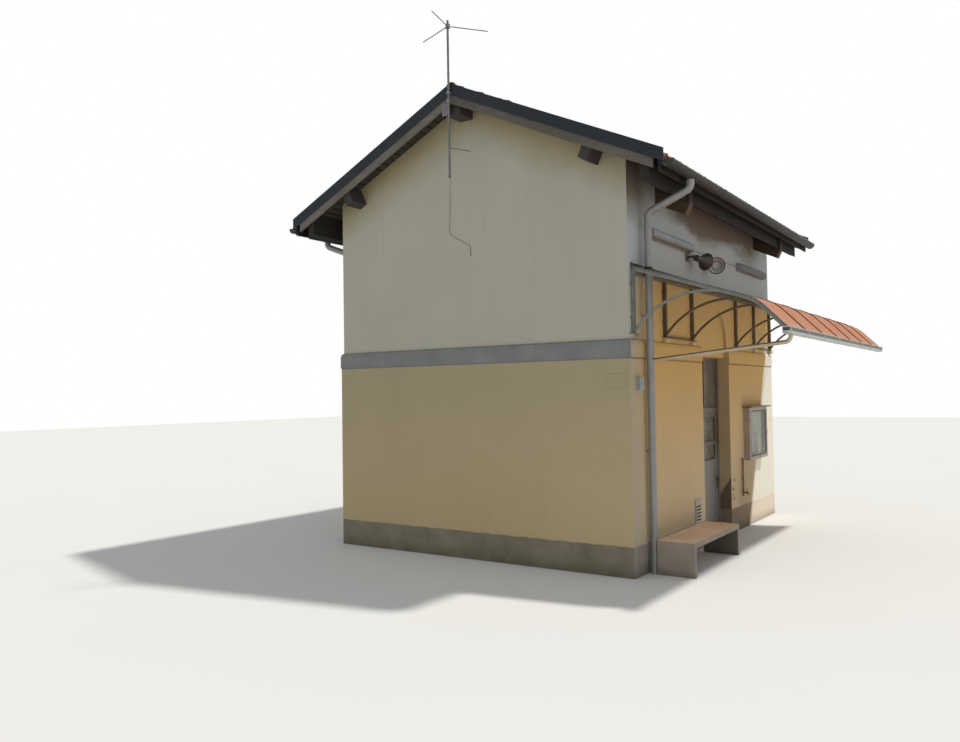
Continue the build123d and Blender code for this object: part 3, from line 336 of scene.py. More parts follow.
def barge_wood(mat):
    """Grey-brown boards along the verges, paler on the rear slope."""
    fibre = mat.fibre("y")
    front = mat.grained(fibre, (94, 90, 84), (112, 106, 98))
    rear = mat.grained(fibre, (112, 108, 100), (130, 124, 114))
    mat.colour = mat.mix(mat.above(mat.y, -0.05, 0.05), front, rear)
    mat.tint((64, 60, 56), mat.clouds(0.4, 0.65, 1.6), 0.35)
    mat.bump(fibre, 0.4, 0.004)


def eave_wood(mat):
    """Grey purlins on darker beam ends that are brown at their lower edge."""
    fibre = mat.fibre("y")
    purlin = mat.grained(mat.fibre("x"), (42, 40, 39), (55, 52, 48))
    beam = mat.grained(fibre, (56, 52, 48), (72, 66, 58))
    low = mat.grained(fibre, (88, 72, 54), (112, 92, 70))
    beam = mat.mix(mat.above(mat.below_roof(), 0.42, 0.48), beam, low)
    on_beam = mat.math("MAXIMUM", mat.band(mat.x, -2.31, -2.17, 0.001), mat.band(mat.x, 2.35, 2.49, 0.001))
    mat.bump(fibre, 0.3, 0.003)
    mat.colour = mat.mix(on_beam, purlin, beam)


def soffit_boards(mat):
    """Dark boards that run along the eave, with gaps between them."""
    board = mat.band(mat.math("FRACT", mat.times(mat.y, 1 / BOARD_WIDTH)), 0.07, 0.95, 0.02)
    fibre = mat.noise(2.4, 6, 0.6, (0.6, 16, 16))
    mat.colour = mat.mix(mat.above(fibre, 0.3, 0.7), (58, 54, 50), (76, 70, 64))
    mat.bump(fibre, 0.3, 0.003)
    mat.bump(board, 0.8, 0.006)
    mat.colour = mat.mix(board, (22, 20, 18), mat.colour)


def tiles_clay(mat):
    """Fired clay, each tile a little different, with lichen and soot."""
    cell = mat.node("ShaderNodeVectorMath", {0: mat.place, 1: [TILE_WIDTH, TILE_STEP, 9]}, operation="SNAP")
    shade = mat.node("ShaderNodeTexWhiteNoise", {"Vector": cell[0]})["Value"]
    mat.colour = mat.mix(shade, (176, 112, 82), (142, 88, 66))
    mat.tint((200, 158, 124), mat.above(shade, 0.78, 0.82), 0.7)
    mat.tint((128, 120, 98), mat.clouds(0.56, 0.68, 9, 6, 0.7), 0.55)
    mat.tint((70, 56, 48), mat.clouds(0.45, 0.72, 1.4, 5, 0.6), 0.45)
    mat.pitted(0.3, 0.003, 60, 4)


def metal(mat, colour, other, rust=0):
    """Painted or galvanised metal with clouds, dirt streaks and specks of rust."""
    mat.base(colour, other)
    mat.stain((62, 58, 52), 0.25)
    if rust:
        mat.tint((104, 58, 34), mat.clouds(0.66 - 0.12 * rust, 0.74, 26, 5, 0.65), rust)
    mat.pitted()
    mat.feed(mat.shader["Roughness"], mat.scaled(mat.noise(18), 0.25, mat.roughness - 0.1))


def verge_metal(mat):
    """Near-black flashing, faded to grey along its lower edge on the rear slope."""
    mat.base((38, 43, 49), (50, 56, 61))
    mat.stain((62, 58, 52), 0.25)
    mat.tint((86, 84, 80), mat.above(mat.below_roof(), 0.12, 0.19), mat.above(mat.y, -0.02, 0.1), 0.75)
    mat.pitted()


def canopy_steel(mat, colour, other, rusty):
    """Steel painted grey at the canopy's left end and brown with rust elsewhere."""
    brown = mat.speckled(colour, other, 6, 0.8, 80, 0.2)
    brown = mat.over(brown, (122, 70, 40), mat.clouds(0.55, 0.66, 22, 5, 0.6), rusty)
    grey = mat.speckled((132, 132, 126), (108, 108, 102), 6, 0.8, 80, 0.2)
    mat.pitted(0.15, 0.001, 60)
    mat.colour = mat.mix(mat.above(mat.x, -3.1, -3.05), grey, brown)


def canopy_plastic(mat):
    """Salmon sheet with dirt runs and fine ribs down the slope, grey below, painted pale as light glowing through
    the sheet.
    """
    mat.colour = mat.mix(mat.clouds(0.35, 0.7, 1.1), (192, 134, 102), (178, 118, 84))
    rib = mat.ribs(12)
    mat.tint((150, 92, 66), mat.above(rib, 0.7, 1), 0.18)
    mat.tint((186, 160, 142), mat.under(mat.z, 3.1, 3.24), 0.45)
    mat.stain((148, 104, 84), 0.35, 0.5, 0.72, 4)
    # The underside is painted pale grey: its own grey raised as painted light glowing through the sheet.
    mat.tint((206, 204, 204), mat.math("LESS_THAN", mat.facing()[2], 0), 0.92)
    mat.bump(rib, 0.12, 0.002)


def canopy_drain(mat):
    """Pale drain pipe, dark along its upper side with painted shade and some dirt."""
    mat.base((198, 184, 156), (172, 158, 132))
    # Painted shade, with some dirt, along the pipe's upper side.
    top = mat.above(mat.scaled(mat.noise(9), 0.4, mat.facing()[2]), 0.3, 0.6)
    mat.tint((70, 60, 52), top, 0.9)
    mat.pitted()


def canopy_gutter(mat):
    """Pale gutter with a dark shadow gap below its top edge."""
    mat.base((174, 177, 170), (151, 154, 147))
    mat.stain((84, 82, 74), 0.35)
    mat.tint((34, 33, 30), mat.band(mat.z, 3.072, 3.11, 0.003), 0.95)
    mat.pitted()


def glass_pane(mat, clean, dusty, alpha):
    """Glass with dust in clouds."""
    grime = mat.clouds(0.4, 0.75, 5, 5, 0.6)
    mat.shader["Alpha"].default_value = alpha
    mat.pitted(0.02, 0.002, 3, 2)
    mat.colour = mat.mix(grime, clean, dusty)
    mat.feed(mat.shader["Roughness"], mat.scaled(grime, 0.2, 0.15))


def door_paint(mat):
    """Grey paint, painted browner and darker above the mid rail as shade, brown with rust near the ground."""
    grey = mat.speckled((134, 131, 125), (117, 116, 114), 1.8, 0.7, 90, 0.12)
    brown = mat.speckled((110, 99, 83), (95, 85, 70), 1.8, 0.7, 90, 0.12)
    # Above the mid rail the paint is browner and darker: painted shade.
    mat.colour = mat.mix(mat.above(mat.z, 1.15, 1.55), grey, brown)
    mat.tint((104, 92, 74), mat.under(mat.x, -0.36, -0.3), 0.35)
    mat.stain((96, 90, 82), 0.35)
    foot = mat.under(mat.scaled(mat.noise(9), 0.3, mat.z), 0.28, 0.5)
    mat.tint((104, 78, 62), foot, 0.55)
    mat.pitted(0.1)


def lamp_cover(mat):
    """Milky cover, olive along its lower edge and darker on the right lamp."""
    left = mat.speckled((160, 166, 172), (136, 140, 142), 5, 0.6, 90, 0.1)
    right = mat.speckled((98, 100, 103), (82, 82, 84), 5, 0.6, 90, 0.1)
    mat.colour = mat.mix(mat.above(mat.x, 0.9, 1.1), left, right)
    mat.tint((112, 106, 72), mat.under(mat.z, 4.485, 4.53), 0.75)
    mat.bump(mat.ribs(18), 0.15, 0.002)


def notice_paint(mat):
    """Grey-brown case with a browner hood."""
    case = mat.speckled((172, 158, 144), (146, 132, 120))
    hood = mat.speckled((148, 108, 60), (114, 82, 46), 6, 0.6, 90, 0.2)
    mat.colour = mat.mix(mat.above(mat.z, 2.07, 2.076), case, hood)
    mat.tint((104, 58, 34), mat.clouds(0.62, 0.74, 26, 5, 0.65), 0.4)
    mat.pitted()


def paper(mat, colour):
    mat.base(colour, (176, 178, 164), 6, 0.5, 160, 0.06)
    mat.pitted(0.15, 0.002, 14)


def gable_band(mat):
    """Grey-painted band on the gables, streaked below the bevel."""
    mat.base((140, 143, 142), (122, 124, 122), 2.5, 0.7, 60, 0.12)
    mat.stain((98, 98, 92), 0.3)
    mat.pitted(0.3, 0.004, 55, 4, 0.6)


def plaster_patch(mat):
    mat.base((214, 204, 186), (184, 164, 136), 7, 0.8, 60, 0.2)
    mat.pitted(0.5, 0.005, 30, 5, 0.65)


def concrete(mat, colour, other):
    """Rough mineral surface with dark pores."""
    mat.base(colour, other, 2.4, 0.8, 45, 0.25)
    mat.tint((70, 66, 60), mat.clouds(0.66, 0.72, 85, 2), 0.4)
    mat.pitted(0.45, 0.004, 48, 5, 0.65)


def bench_stone(mat):
    """Cast concrete with a terracotta-tinted seat painted pale as light on it, painted shade under the seat, and
    darker at its foot.
    """
    mat.base((171, 157, 143), (142, 131, 120), 2.6, 0.8, 50, 0.25)
    wobble = mat.scaled(mat.noise(6, 3), 0.008, mat.z)
    # The seat's terracotta tint is painted paler than its own tone: painted light on the top.
    seat = mat.mix(mat.clouds(0.35, 0.65, 2), (248, 222, 192), (234, 198, 168))
    mat.tint(seat, mat.above(wobble, 0.446, 0.4485), 0.9)
    mat.tint((84, 80, 72), mat.under(wobble, 0.01, 0.1), 0.5)
    mat.stain((104, 100, 92), 0.3)
    # Painted shade on the faces under the seat.
    inside = mat.times(mat.band(mat.x, -2.825, -1.115, 0.002), mat.under(mat.z, 0.374, 0.378))
    mat.tint((90, 86, 79), inside, 0.8)
    mat.pitted(0.4, 0.003, 60, 5, 0.65)


def floor_tone(mat):
    mat.colour = mat.mix(mat.noise(0.3, 2), (238, 238, 236), (234, 234, 232))


# Each material's recipe, its shader's roughness, metallic and specular, the nodes it dresses and its own values.
RECIPES = {
    "wall_render": (render_wall, (0.93, 0, 0.25),
        "front_wall_left front_wall_right front_wall_over_door door_tympanum back_wall "
        "left_gable_wall right_gable_wall long_string_courses canopy_pads"),
    "grey_render": (gable_band, (0.9, 0, 0.25), "gable_string_courses"),
    "floor_concrete": (concrete, (0.95, 0, 0.2), "floor_slab door_sill", (140, 136, 126), (112, 106, 96)),
    "bench_concrete": (bench_stone, (0.9, 0, 0.25), "bench"),
    "door_metal": (door_paint, (0.45, 0.1), "door_frame door_side_panel door_leaf"),
    "door_glass": (glass_pane, (0.06, 0, 0.6), "door_glass transom_glass", (112, 104, 92), (124, 115, 103), 0.9),
    "notice_glass": (glass_pane, (0.06, 0, 0.6), "notice_glass", (150, 156, 150), (168, 170, 160), 0.22),
    "lock_metal": (metal, (0.4, 0.7), "door_handle", (52, 50, 48), (78, 76, 72)),
    "roof_timber": (wood, (0.8, 0, 0.2), "roof_beams", (64, 64, 64), (78, 75, 71), "x"),
    "eave_fascia": (wood, (0.8, 0, 0.2), "eave_fascias", (30, 29, 28), (41, 38, 36), "x"),
    "eave_timber": (eave_wood, (0.8, 0, 0.2), "eave_beams"),
    "roof_boards": (soffit_boards, (0.85, 0, 0.2), "front_roof_boards rear_roof_boards"),
    "clay_tile": (tiles_clay, (0.9, 0, 0.2), "front_roof_tiles rear_roof_tiles ridge_tiles"),
    "verge_metal": (verge_metal, (0.6, 0.1, 0.2), "verge_flashings"),
    "barge_timber": (barge_wood, (0.8, 0, 0.2), "barge_boards"),
    "apex_board": (wood, (0.8, 0, 0.2), "", (146, 139, 146), (122, 116, 121), "z"),
    "gutter_metal": (metal, (0.6, 0.05), "eave_gutters", (38, 40, 37), (29, 32, 29), 0.15),
    "gutter_bead_metal": (metal, (0.4, 0.4), "", (128, 130, 122), (106, 108, 100), 0.1),
    "pipe_metal": (metal, (0.45, 0.2), "downpipes pipe_brackets mast_clamps",
        (152, 153, 152), (130, 131, 130), 0.15),
    "canopy_drain": (canopy_drain, (0.5, 0.1), "canopy_drain"),
    "canopy_steel": (canopy_steel, (0.55, 0.2), "canopy_frames", (108, 88, 60), (82, 68, 48), 0.6),
    "canopy_back_beam": (canopy_steel, (0.55, 0.2), "canopy_back_beam", (132, 116, 90), (112, 96, 72), 0.1),
    "canopy_sheet": (canopy_plastic, (0.65, 0, 0.12), "canopy_sheet"),
    "seam_metal": (metal, (0.55, 0.1), "canopy_seams", (128, 64, 50), (96, 48, 40), 0.3),
    "light_metal": (metal, (0.4, 0.4), "", (196, 200, 194), (172, 176, 170), 0.12),
    "canopy_gutter_metal": (canopy_gutter, (0.4, 0.3), "canopy_gutter"),
    "sheet_edge_metal": (metal, (0.5, 0.2), "", (106, 105, 97), (88, 88, 80), 0.2),
    "drip_edge_metal": (metal, (0.5, 0.1), "", (196, 170, 150), (170, 146, 126), 0.3),
    "lamp_cover": (lamp_cover, (0.5, 0, 0.15), "wall_lamps"),
    "speaker_metal": (metal, (0.5, 0.2), "loudspeakers", (66, 66, 64), (86, 85, 81), 0.2),
    "horn_inside": (metal, (0.6, 0), "", (204, 206, 208), (178, 182, 186), 0.1),
    "notice_metal": (notice_paint, (0.5, 0.1), "notice_case"),
    "notice_inner": (metal, (0.5, 0.2), "", (44, 56, 48), (36, 46, 40)),
    "notice_paper": (paper, (0.9, 0, 0.1), "", (226, 228, 206)),
    "notice_paper_lilac": (paper, (0.9, 0, 0.1), "", (202, 190, 206)),
    "vent_metal": (metal, (0.6, 0.1), "vent_grille", (196, 178, 158), (168, 152, 134), 0.3),
    "vent_mesh": (metal, (0.7, 0.1), "", (44, 50, 48), (34, 38, 36), 0.1),
    "box_plastic": (metal, (0.45, 0), "meter_box", (162, 166, 168), (140, 144, 148)),
    "rusty_iron": (metal, (0.75, 0.1), "wall_tap", (146, 112, 86), (108, 74, 54), 0.7),
    "antenna_metal": (metal, (0.45, 0.4), "antenna", (112, 116, 112), (88, 92, 90), 0.15),
    "cable_grey": (metal, (0.6, 0), "", (146, 144, 132), (120, 118, 106)),
    "verge_tile_edges": (concrete, (0.95, 0, 0.2), "", (226, 194, 176), (198, 154, 132)),
    "ridge_mortar": (concrete, (0.95, 0, 0.2), "", (168, 160, 146), (140, 132, 118)),
    "plaster_patch": (plaster_patch, (0.95, 0, 0.2), ""),
    "pale_floor": (floor_tone, (1, 0, 0), ""),
}


def make_material(name, recipe, shader, nodes, *values):
    mat = Paint(name, *shader)
    recipe(mat, *values)
    for node in nodes.split():
        data = NODES[node].data
        data.materials.clear()
        data.materials.append(mat.material)
    mat.feed(mat.shader["Base Color"], mat.colour)
    if mat.normal is not None:
        mat.feed(mat.shader["Normal"], mat.normal)
    return mat.material


MATERIALS = {name: make_material(name, *values) for name, values in RECIPES.items()}


class Kit:
    """Gathers bevelled blocks, tubes and turned forms into one mesh."""

    def __init__(self):
        self.mesh = bmesh.new()

    def row(self, places):
        return [self.mesh.verts.new(place) for place in places]

    def strip(self, first, second):
        """Faces between two rows of corners."""
        for corners in zip(first, first[1:], second[1:], second):
            self.mesh.faces.new(corners)

    def sheet(self, rows):
        """Faces over a run of rows."""
        for first, second in zip(rows, rows[1:]):
            self.strip(first, second)

    def skin(self, rings, cap_start=True, cap_end=True):
        """Faces round a run of closed rings, with caps."""
        self.sheet([ring + ring[:1] for ring in rings])
        if cap_start:
            self.mesh.faces.new(rings[0][::-1])
        if cap_end:
            self.mesh.faces.new(rings[-1])
        return self

    def block(self, low, high, bevel, segments=1):
        made = bmesh.ops.create_cube(self.mesh, size=1)["verts"]
        low = Vector(low)
        high = Vector(high)
        for vert in made:
            vert.co = Vector((low[i] + (vert.co[i] + 0.5) * (high[i] - low[i]) for i in range(3))) + SHIFT
        edges = list({edge for vert in made for edge in vert.link_edges})
        bmesh.ops.bevel(self.mesh, geom=edges, offset=bevel, segments=segments, affect="EDGES", clamp_overlap=True)
        return self

    def bars(self, y0, y1, bevel, *rectangles):
        """Flat bars side by side in an upright plane, each given as (x0, z0, x1, z1)."""
        for x0, z0, x1, z1 in rectangles:
            self.block((x0, y0, z0), (x1, y1, z1), bevel)
        return self

    def ring(self, centre, normal, radius, sides, start=None):
        normal = normal.normalized()
        side = start or Vector((0, 0, 1) if abs(normal.z) < 0.9 else (1, 0, 0))
        side = (side - normal * side.dot(normal)).normalized()
        other = normal.cross(side)
        turns = [2 * math.pi * step / sides for step in range(sides)]
        return self.row([centre + side * (radius * math.cos(turn)) + other * (radius * math.sin(turn))
            for turn in turns])

    def tube(self, points, radius, sides=8):
        """Round bar through points."""
        places = [at(*point) for point in points]
        last = len(places) - 1
        rings = []
        for index, place in enumerate(places):
            before = places[max(index - 1, 0)]
            after = places[min(index + 1, last)]
            direction = after - before
            if 0 < index < last:
                direction = (place - before).normalized() + (after - place).normalized()
            rings.append(self.ring(place, direction, radius, sides, TUBE_SIDE))
        return self.skin(rings)

    def turned(self, profile, origin, axis, sides, cap_start=True, cap_end=True):
        """Turned form: profile points are (distance along the axis, radius)."""
        origin = at(*origin)
        axis = Vector(axis).normalized()
        rings = [self.ring(origin + axis * along, axis, radius, sides) for along, radius in profile]
        return self.skin(rings, cap_start, cap_end)

    def stud(self, origin, axis, sides, radius, rise, tip, tip_radius):
        """Bolt head or cap: straight up to its rise, then drawn in to its tip."""
        return self.turned([(0, radius), (rise, radius), (tip, tip_radius)], origin, axis, sides)

    def prism(self, outline, x0, x1):
        """Polygon of (y, z) points drawn out along X."""
        return self.skin([self.row([at(x, y, z) for y, z in outline]) for x in (x0, x1)])

    def done(self, name, material, slot=None, body="building", smooth=False, sharp=38):
        """Makes the piece. A smooth one keeps its edges sharper than the angle, so that only rounded faces blend."""
        bmesh.ops.recalc_face_normals(self.mesh, faces=self.mesh.faces)
        if smooth:
            self.mesh.normal_update()
            for face in self.mesh.faces:
                face.smooth = True
            for edge in self.mesh.edges:
                if len(edge.link_faces) == 2 and edge.calc_face_angle(0) > math.radians(sharp):
                    edge.smooth = False
        data = bpy.data.meshes.new(name)
        self.mesh.to_mesh(data)
        self.mesh.free()
        data.materials.append(MATERIALS[material])
        piece = add_object(name, data)
        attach(piece, body)
        return piece


def slope_point(x, along, depth, rear):
    """Point on a roof slope: distance down from the ridge and depth square below the covering."""
    side = 1 if rear else -1
    return at(x, WIDTH / 2 + side * (along * math.cos(PITCH) - depth * math.sin(PITCH)),
        RIDGE - along * math.sin(PITCH) - depth * math.cos(PITCH))


def tile_profile(part):
    """Rise of an interlocking clay tile across its width, from 0 in the pan to 1 on the roll."""
    if part < 0.08:
        return 0.35
    if part < 0.55:
        return 0.06 * abs(math.sin((part - 0.08) / 0.47 * math.pi * 2))
    return math.sin((part - 0.55) / 0.45 * math.pi) ** 0.8


def roof_covering(name, rear, replaced):
    """Courses of interlocking tiles on one slope, closed down to the boards."""
    seed = random.Random(11 if rear else 7)
    reach = (WIDTH / 2 + (EAVE_REAR if rear else EAVE_FRONT)) / math.cos(PITCH)
    length = COVER_RIGHT - COVER_LEFT
    columns = round(length / TILE_WIDTH)
    width = length / columns
    courses = round((reach - 0.02) / TILE_STEP)
    step = (reach - 0.02) / courses
    lifts = [[seed.uniform(0, 0.003) for _ in range(columns)] for _ in range(courses)]
    samples = [(column, part) for column in range(columns) for part in TILE_SAMPLES] + [(columns - 1, 1)]
    samples = [(COVER_LEFT + (column + part) * width, column, part) for column, part in samples]
    kit = Kit()
    rows = []
    for course in range(courses):
        for along, lap in ((course * step, 0.021), ((course + 1) * step, 0.004)):
            rows.append(kit.row([slope_point(x, along,
                0.001 + TILE_RISE * (1 - tile_profile(part % 1)) + lap + lifts[course][column] * 0.9, rear)
                for x, column, part in samples]))
    foot = [slope_point(x, reach - 0.03, 0.066, rear) for x, _, _ in samples]
    kit.sheet(rows + [kit.row(foot)])
    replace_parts(kit.done(name, "clay_tile", smooth=True, sharp=50), replaced)


def ridge_caps():
    """Half-round caps that overlap along the ridge."""
    seed = random.Random(3)
    kit = Kit()
    count = 19
    pitch = (COVER_RIGHT - COVER_LEFT) / count
    centre = RIDGE - 0.095 * math.tan(PITCH) + 0.003
    arc = [math.radians(-6 + 192 * step / 14) for step in range(15)]
    for index in range(count):
        start = COVER_LEFT + index * pitch
        end = min(start + pitch + 0.035, COVER_RIGHT)
        lift = seed.uniform(-0.0015, 0)
        outer = []
        inner = []
        for x, radius in ((start, 0.0945), (start + 0.03, 0.0945), (start + 0.034, 0.0885), (end, 0.083)):
            for rows, away in ((outer, radius + lift), (inner, radius - 0.014)):
                rows.append(kit.row([at(x, WIDTH / 2 + away * math.cos(turn), centre + away * math.sin(turn))
                    for turn in arc]))
        kit.sheet(outer)
        kit.sheet(inner[::-1])
        kit.strip(inner[0], outer[0])
        kit.strip(outer[-1], inner[-1])
    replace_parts(kit.done("ridge_caps", "clay_tile", smooth=True), "ridge_tiles")


def mortar():
    """Mortar bedding under the ridge caps, seen as a thin uneven line."""
    seed = random.Random(5)
    kit = Kit()
    start = COVER_LEFT + 0.01
    length = COVER_RIGHT - 0.01 - start
    count = 120
    for rear in (False, True):
        places = [start + length * step / count for step in range(count + 1)]
        low = [slope_point(x, 0.11 + seed.uniform(-0.01, 0.006), 0.03, rear) for x in places]
        high = [slope_point(x, 0.072, -0.004, rear) for x in places]
        kit.strip(kit.row(low), kit.row(high))
    kit.done("ridge_mortar", "ridge_mortar", "clay_tile")


def eave_details():
    """Rolled beads and joint sleeves of both eave gutters."""
    beads = Kit()
    joints = Kit()
    turns = [math.pi * step / 12 for step in range(13)]
    for side, reach, wall in ((-1, EAVE_FRONT, 0), (1, EAVE_REAR, WIDTH)):
        lip = RIDGE - (WIDTH / 2 + reach) * math.tan(PITCH) - COVERING / math.cos(PITCH) - 0.04
        centre = wall + side * (reach - 0.05 + 0.085)
        edge = centre + side * 0.079
        beads.tube([(-0.346, edge, lip - 0.002), (LENGTH + 0.438, edge, lip - 0.002)], 0.008, 10)
        outline = [(centre - side * radius * math.cos(turn), lip - radius * math.sin(turn))
            for radius, order in ((0.0875, 1), (0.0852, -1)) for turn in turns[::order]]
        for x in (1.6, 3.55, 5.5):
            joints.prism(outline, x, x + 0.05)
    beads.done("gutter_beads", "gutter_bead_metal", "gutter_metal", smooth=True)
    joints.done("gutter_joints", "gutter_metal", smooth=True)


def verge_details():
    """Plumb board at the left apex and the tile edges that rise over the verge flashing."""
    board = Kit().block((-0.368, 2.56, 6.4), (-0.345, 2.692, 6.575), 0.003)
    board.done("apex_board", "apex_board", "barge_timber")
    seed = random.Random(17)
    edges = Kit()
    along = 0.1
    while along < 1.1:
        length = seed.uniform(0.05, 0.16)
        rise = seed.uniform(0.032, 0.044)
        outline = ((along, 0.004), (along + length, 0.004), (along + length, -rise), (along, -rise * 0.7))
        edges.skin([edges.row([slope_point(x, place, depth, False) for place, depth in outline])
            for x in (-0.352, -0.3)])
        along += length + seed.uniform(0.05, 0.3)
    edges.done("verge_tile_edges", "verge_tile_edges", "clay_tile")


def pipe_details():
    """Sleeve joints and bracket bolts of the downpipes."""
    sleeves = Kit()
    bolts = Kit()
    for y in (-PIPE_OFF_WALL, WIDTH + PIPE_OFF_WALL):
        for z in (0.92, 2.55, 4.55):
            sleeves.turned([(0, 0.0502), (0.004, 0.0535), (0.06, 0.0535), (0.064, 0.0502)], (PIPE_X, y, z), UP, 28,
                False, False)
        for z in (0.4, 1.6, 3.4):
            bolts.block((0.502, y - 0.008, z - 0.012), (0.522, y + 0.008, z + 0.012), 0.002)
            bolts.stud((0.512, y - 0.008, z), OUT, 8, 0.006, 0.008, 0.01, 0.003)
    sleeves.done("pipe_sleeves", "pipe_metal", smooth=True)
    bolts.done("bracket_bolts", "pipe_metal")


def canopy_at(along, depth):
    """(y, z) on the canopy's curve at a distance from the wall, a depth below its top."""
    turn = min(max(along - CANOPY_STRAIGHT, 0) / CANOPY_RADIUS, CANOPY_TURN)
    lean = CANOPY_PITCH + turn
    rest = along - CANOPY_STRAIGHT - CANOPY_RADIUS * turn
    y = CANOPY_KNEE[0] + CANOPY_RADIUS * (math.sin(CANOPY_PITCH) - math.sin(lean)) - math.cos(lean) * rest
    z = CANOPY_KNEE[1] + CANOPY_RADIUS * (math.cos(lean) - math.cos(CANOPY_PITCH)) - math.sin(lean) * rest
    return y + math.sin(lean) * depth, z - math.cos(lean) * depth


def canopy_slab(start, end, top, low):
    """Outline of a length of the canopy's curve between two depths below its top."""
    return [canopy_at(start, top), canopy_at(end, top), canopy_at(end, low), canopy_at(start, low)]


def canopy_sheet_details():
    """Seam screws, edge trims and wall flashing of the canopy's sheet."""
    screws = Kit()
    for seam in range(1, 7):
        for index in range(8):
            along = 0.12 + index * (CANOPY_REACH - 0.2) / 7
            y, z = canopy_at(along, -0.011)
            y2, z2 = canopy_at(along, -0.018)
            screws.stud((0.96 * seam, y, z), (0, y2 - y, z2 - z), 8, 0.009, 0.003, 0.006, 0.005)
    screws.done("seam_screws", "light_metal", "seam_metal")
    trims = Kit()
    steps = 26
    for x0, x1, side in ((CANOPY_LEFT - 0.004, CANOPY_LEFT + 0.022, CANOPY_LEFT - 0.004),
            (CANOPY_RIGHT - 0.022, CANOPY_RIGHT + 0.004, CANOPY_RIGHT + 0.001)):
        for index in range(steps):
            a = CANOPY_REACH * index / steps
            b = CANOPY_REACH * (index + 1) / steps
            trims.prism(canopy_slab(a, b, -0.003, 0), x0, x1)
            trims.prism(canopy_slab(a, b, 0, 0.014), side, side + 0.003)
    trims.done("sheet_edge_trims", "sheet_edge_metal", "seam_metal")
    flashing = Kit().prism([(FACE, 4.075), (FACE - 0.004, 4.075), (FACE - 0.004, 4.036), (FACE - 0.11, 4),
        (FACE - 0.11, 3.996), (FACE, 4.0315)], CANOPY_LEFT, CANOPY_RIGHT)
    flashing.done("canopy_wall_flashing", "gutter_metal", "light_metal")


def canopy_fixings():
    """Post plates, gutter straps, drip edge, light purlins and the collar where the downpipe passes."""
    plates = Kit()
    for x in CANOPY_FRAMES:
        plates.block((x - 0.06, FACE - 0.062, 3.14), (x + 0.06, FACE - 0.001, 3.148), 0.002)
        for side in (-0.044, 0.044):
            plates.stud((x + side, FACE - 0.024, 3.148), UP, 6, 0.008, 0.007, 0.011, 0.004)
        for z in (3.34, 3.78):
            plates.block((x - 0.055, FACE - 0.006, z), (x + 0.055, FACE - 0.0005, z + 0.03), 0.001)
            for side in (-0.042, 0.042):
                plates.stud((x + side, FACE - 0.006, z + 0.015), OUT, 6, 0.006, 0.006, 0.009, 0.003)
    plates.done("post_plates", "canopy_steel")
    end_y, end_z = canopy_at(CANOPY_REACH, 0)
    back = end_y + 0.025
    front = back - 0.075
    top = end_z - 0.01
    foot = top - 0.085
    straps = Kit()
    for index in range(8):
        x = 0.06 + index * 0.9
        straps.block((x, front - 0.003, foot - 0.003), (x + 0.025, back, foot), 0.0008)
        straps.block((x, front - 0.003, foot - 0.003), (x + 0.025, front, top - 0.004), 0.0008)
    straps.done("canopy_gutter_straps", "light_metal")
    drip = Kit().block((-0.02, front - 0.008, top - 0.014), (CANOPY_RIGHT, front, top), 0.002)
    drip.done("canopy_drip_edge", "drip_edge_metal", "light_metal")
    purlins = Kit()
    for along in (0.72, 1.36, 1.95):
        outline = canopy_slab(along, along + 0.03, 0.006, 0.028)
        for left, right in zip(CANOPY_FRAMES, CANOPY_FRAMES[1:]):
            purlins.prism(outline, left + 0.0205, right - 0.0205)
    purlins.done("canopy_purlins", "canopy_steel")
    collar = Kit().turned([(0, 0.074), (0.012, 0.068), (0.03, 0.0545), (0.05, 0.0515)],
        (PIPE_X, -PIPE_OFF_WALL, 3.992), UP, 24, False, False)
    collar.done("pipe_collar", "gutter_metal", "pipe_metal", smooth=True)


def lamp_details():
    """Housings, end caps and clips of the long lamps."""
    for number, left in ((1, 0.7), (2, 4.6)):
        right = left + 1.52
        kit = Kit()
        kit.prism([(0.0295, 4.47), (-0.022, 4.474), (-0.026, 4.482), (-0.026, 4.598), (-0.022, 4.606),
            (0.0295, 4.61)], left - 0.006, right + 0.006)
        for x in (left - 0.01, right + 0.002):
            kit.prism([(0.029, 4.472), (-0.045, 4.478), (-0.07, 4.5), (-0.074, 4.54), (-0.07, 4.58),
                (-0.045, 4.602), (0.029, 4.608)], x, x + 0.008)
        for step in range(4):
            x = left + 0.16 + step * 0.4
            kit.bars(-0.032, -0.014, 0.002, (x, 4.596, x + 0.022, 4.613), (x, 4.467, x + 0.022, 4.484))
        kit.done("lamp_housing_%d" % number, "box_plastic", "lamp_cover")
    conduit = Kit().tube([(x, 0.02, 4.545) for x in (2.22, 2.3, 4.52, 4.6)], 0.009)
    for x in (2.45, 3.1, 3.75, 4.4):
        conduit.block((x - 0.012, 0.008, 4.53), (x + 0.012, 0.0295, 4.56), 0.003)
    conduit.done("lamp_conduit", "box_plastic", "lamp_cover", smooth=True)


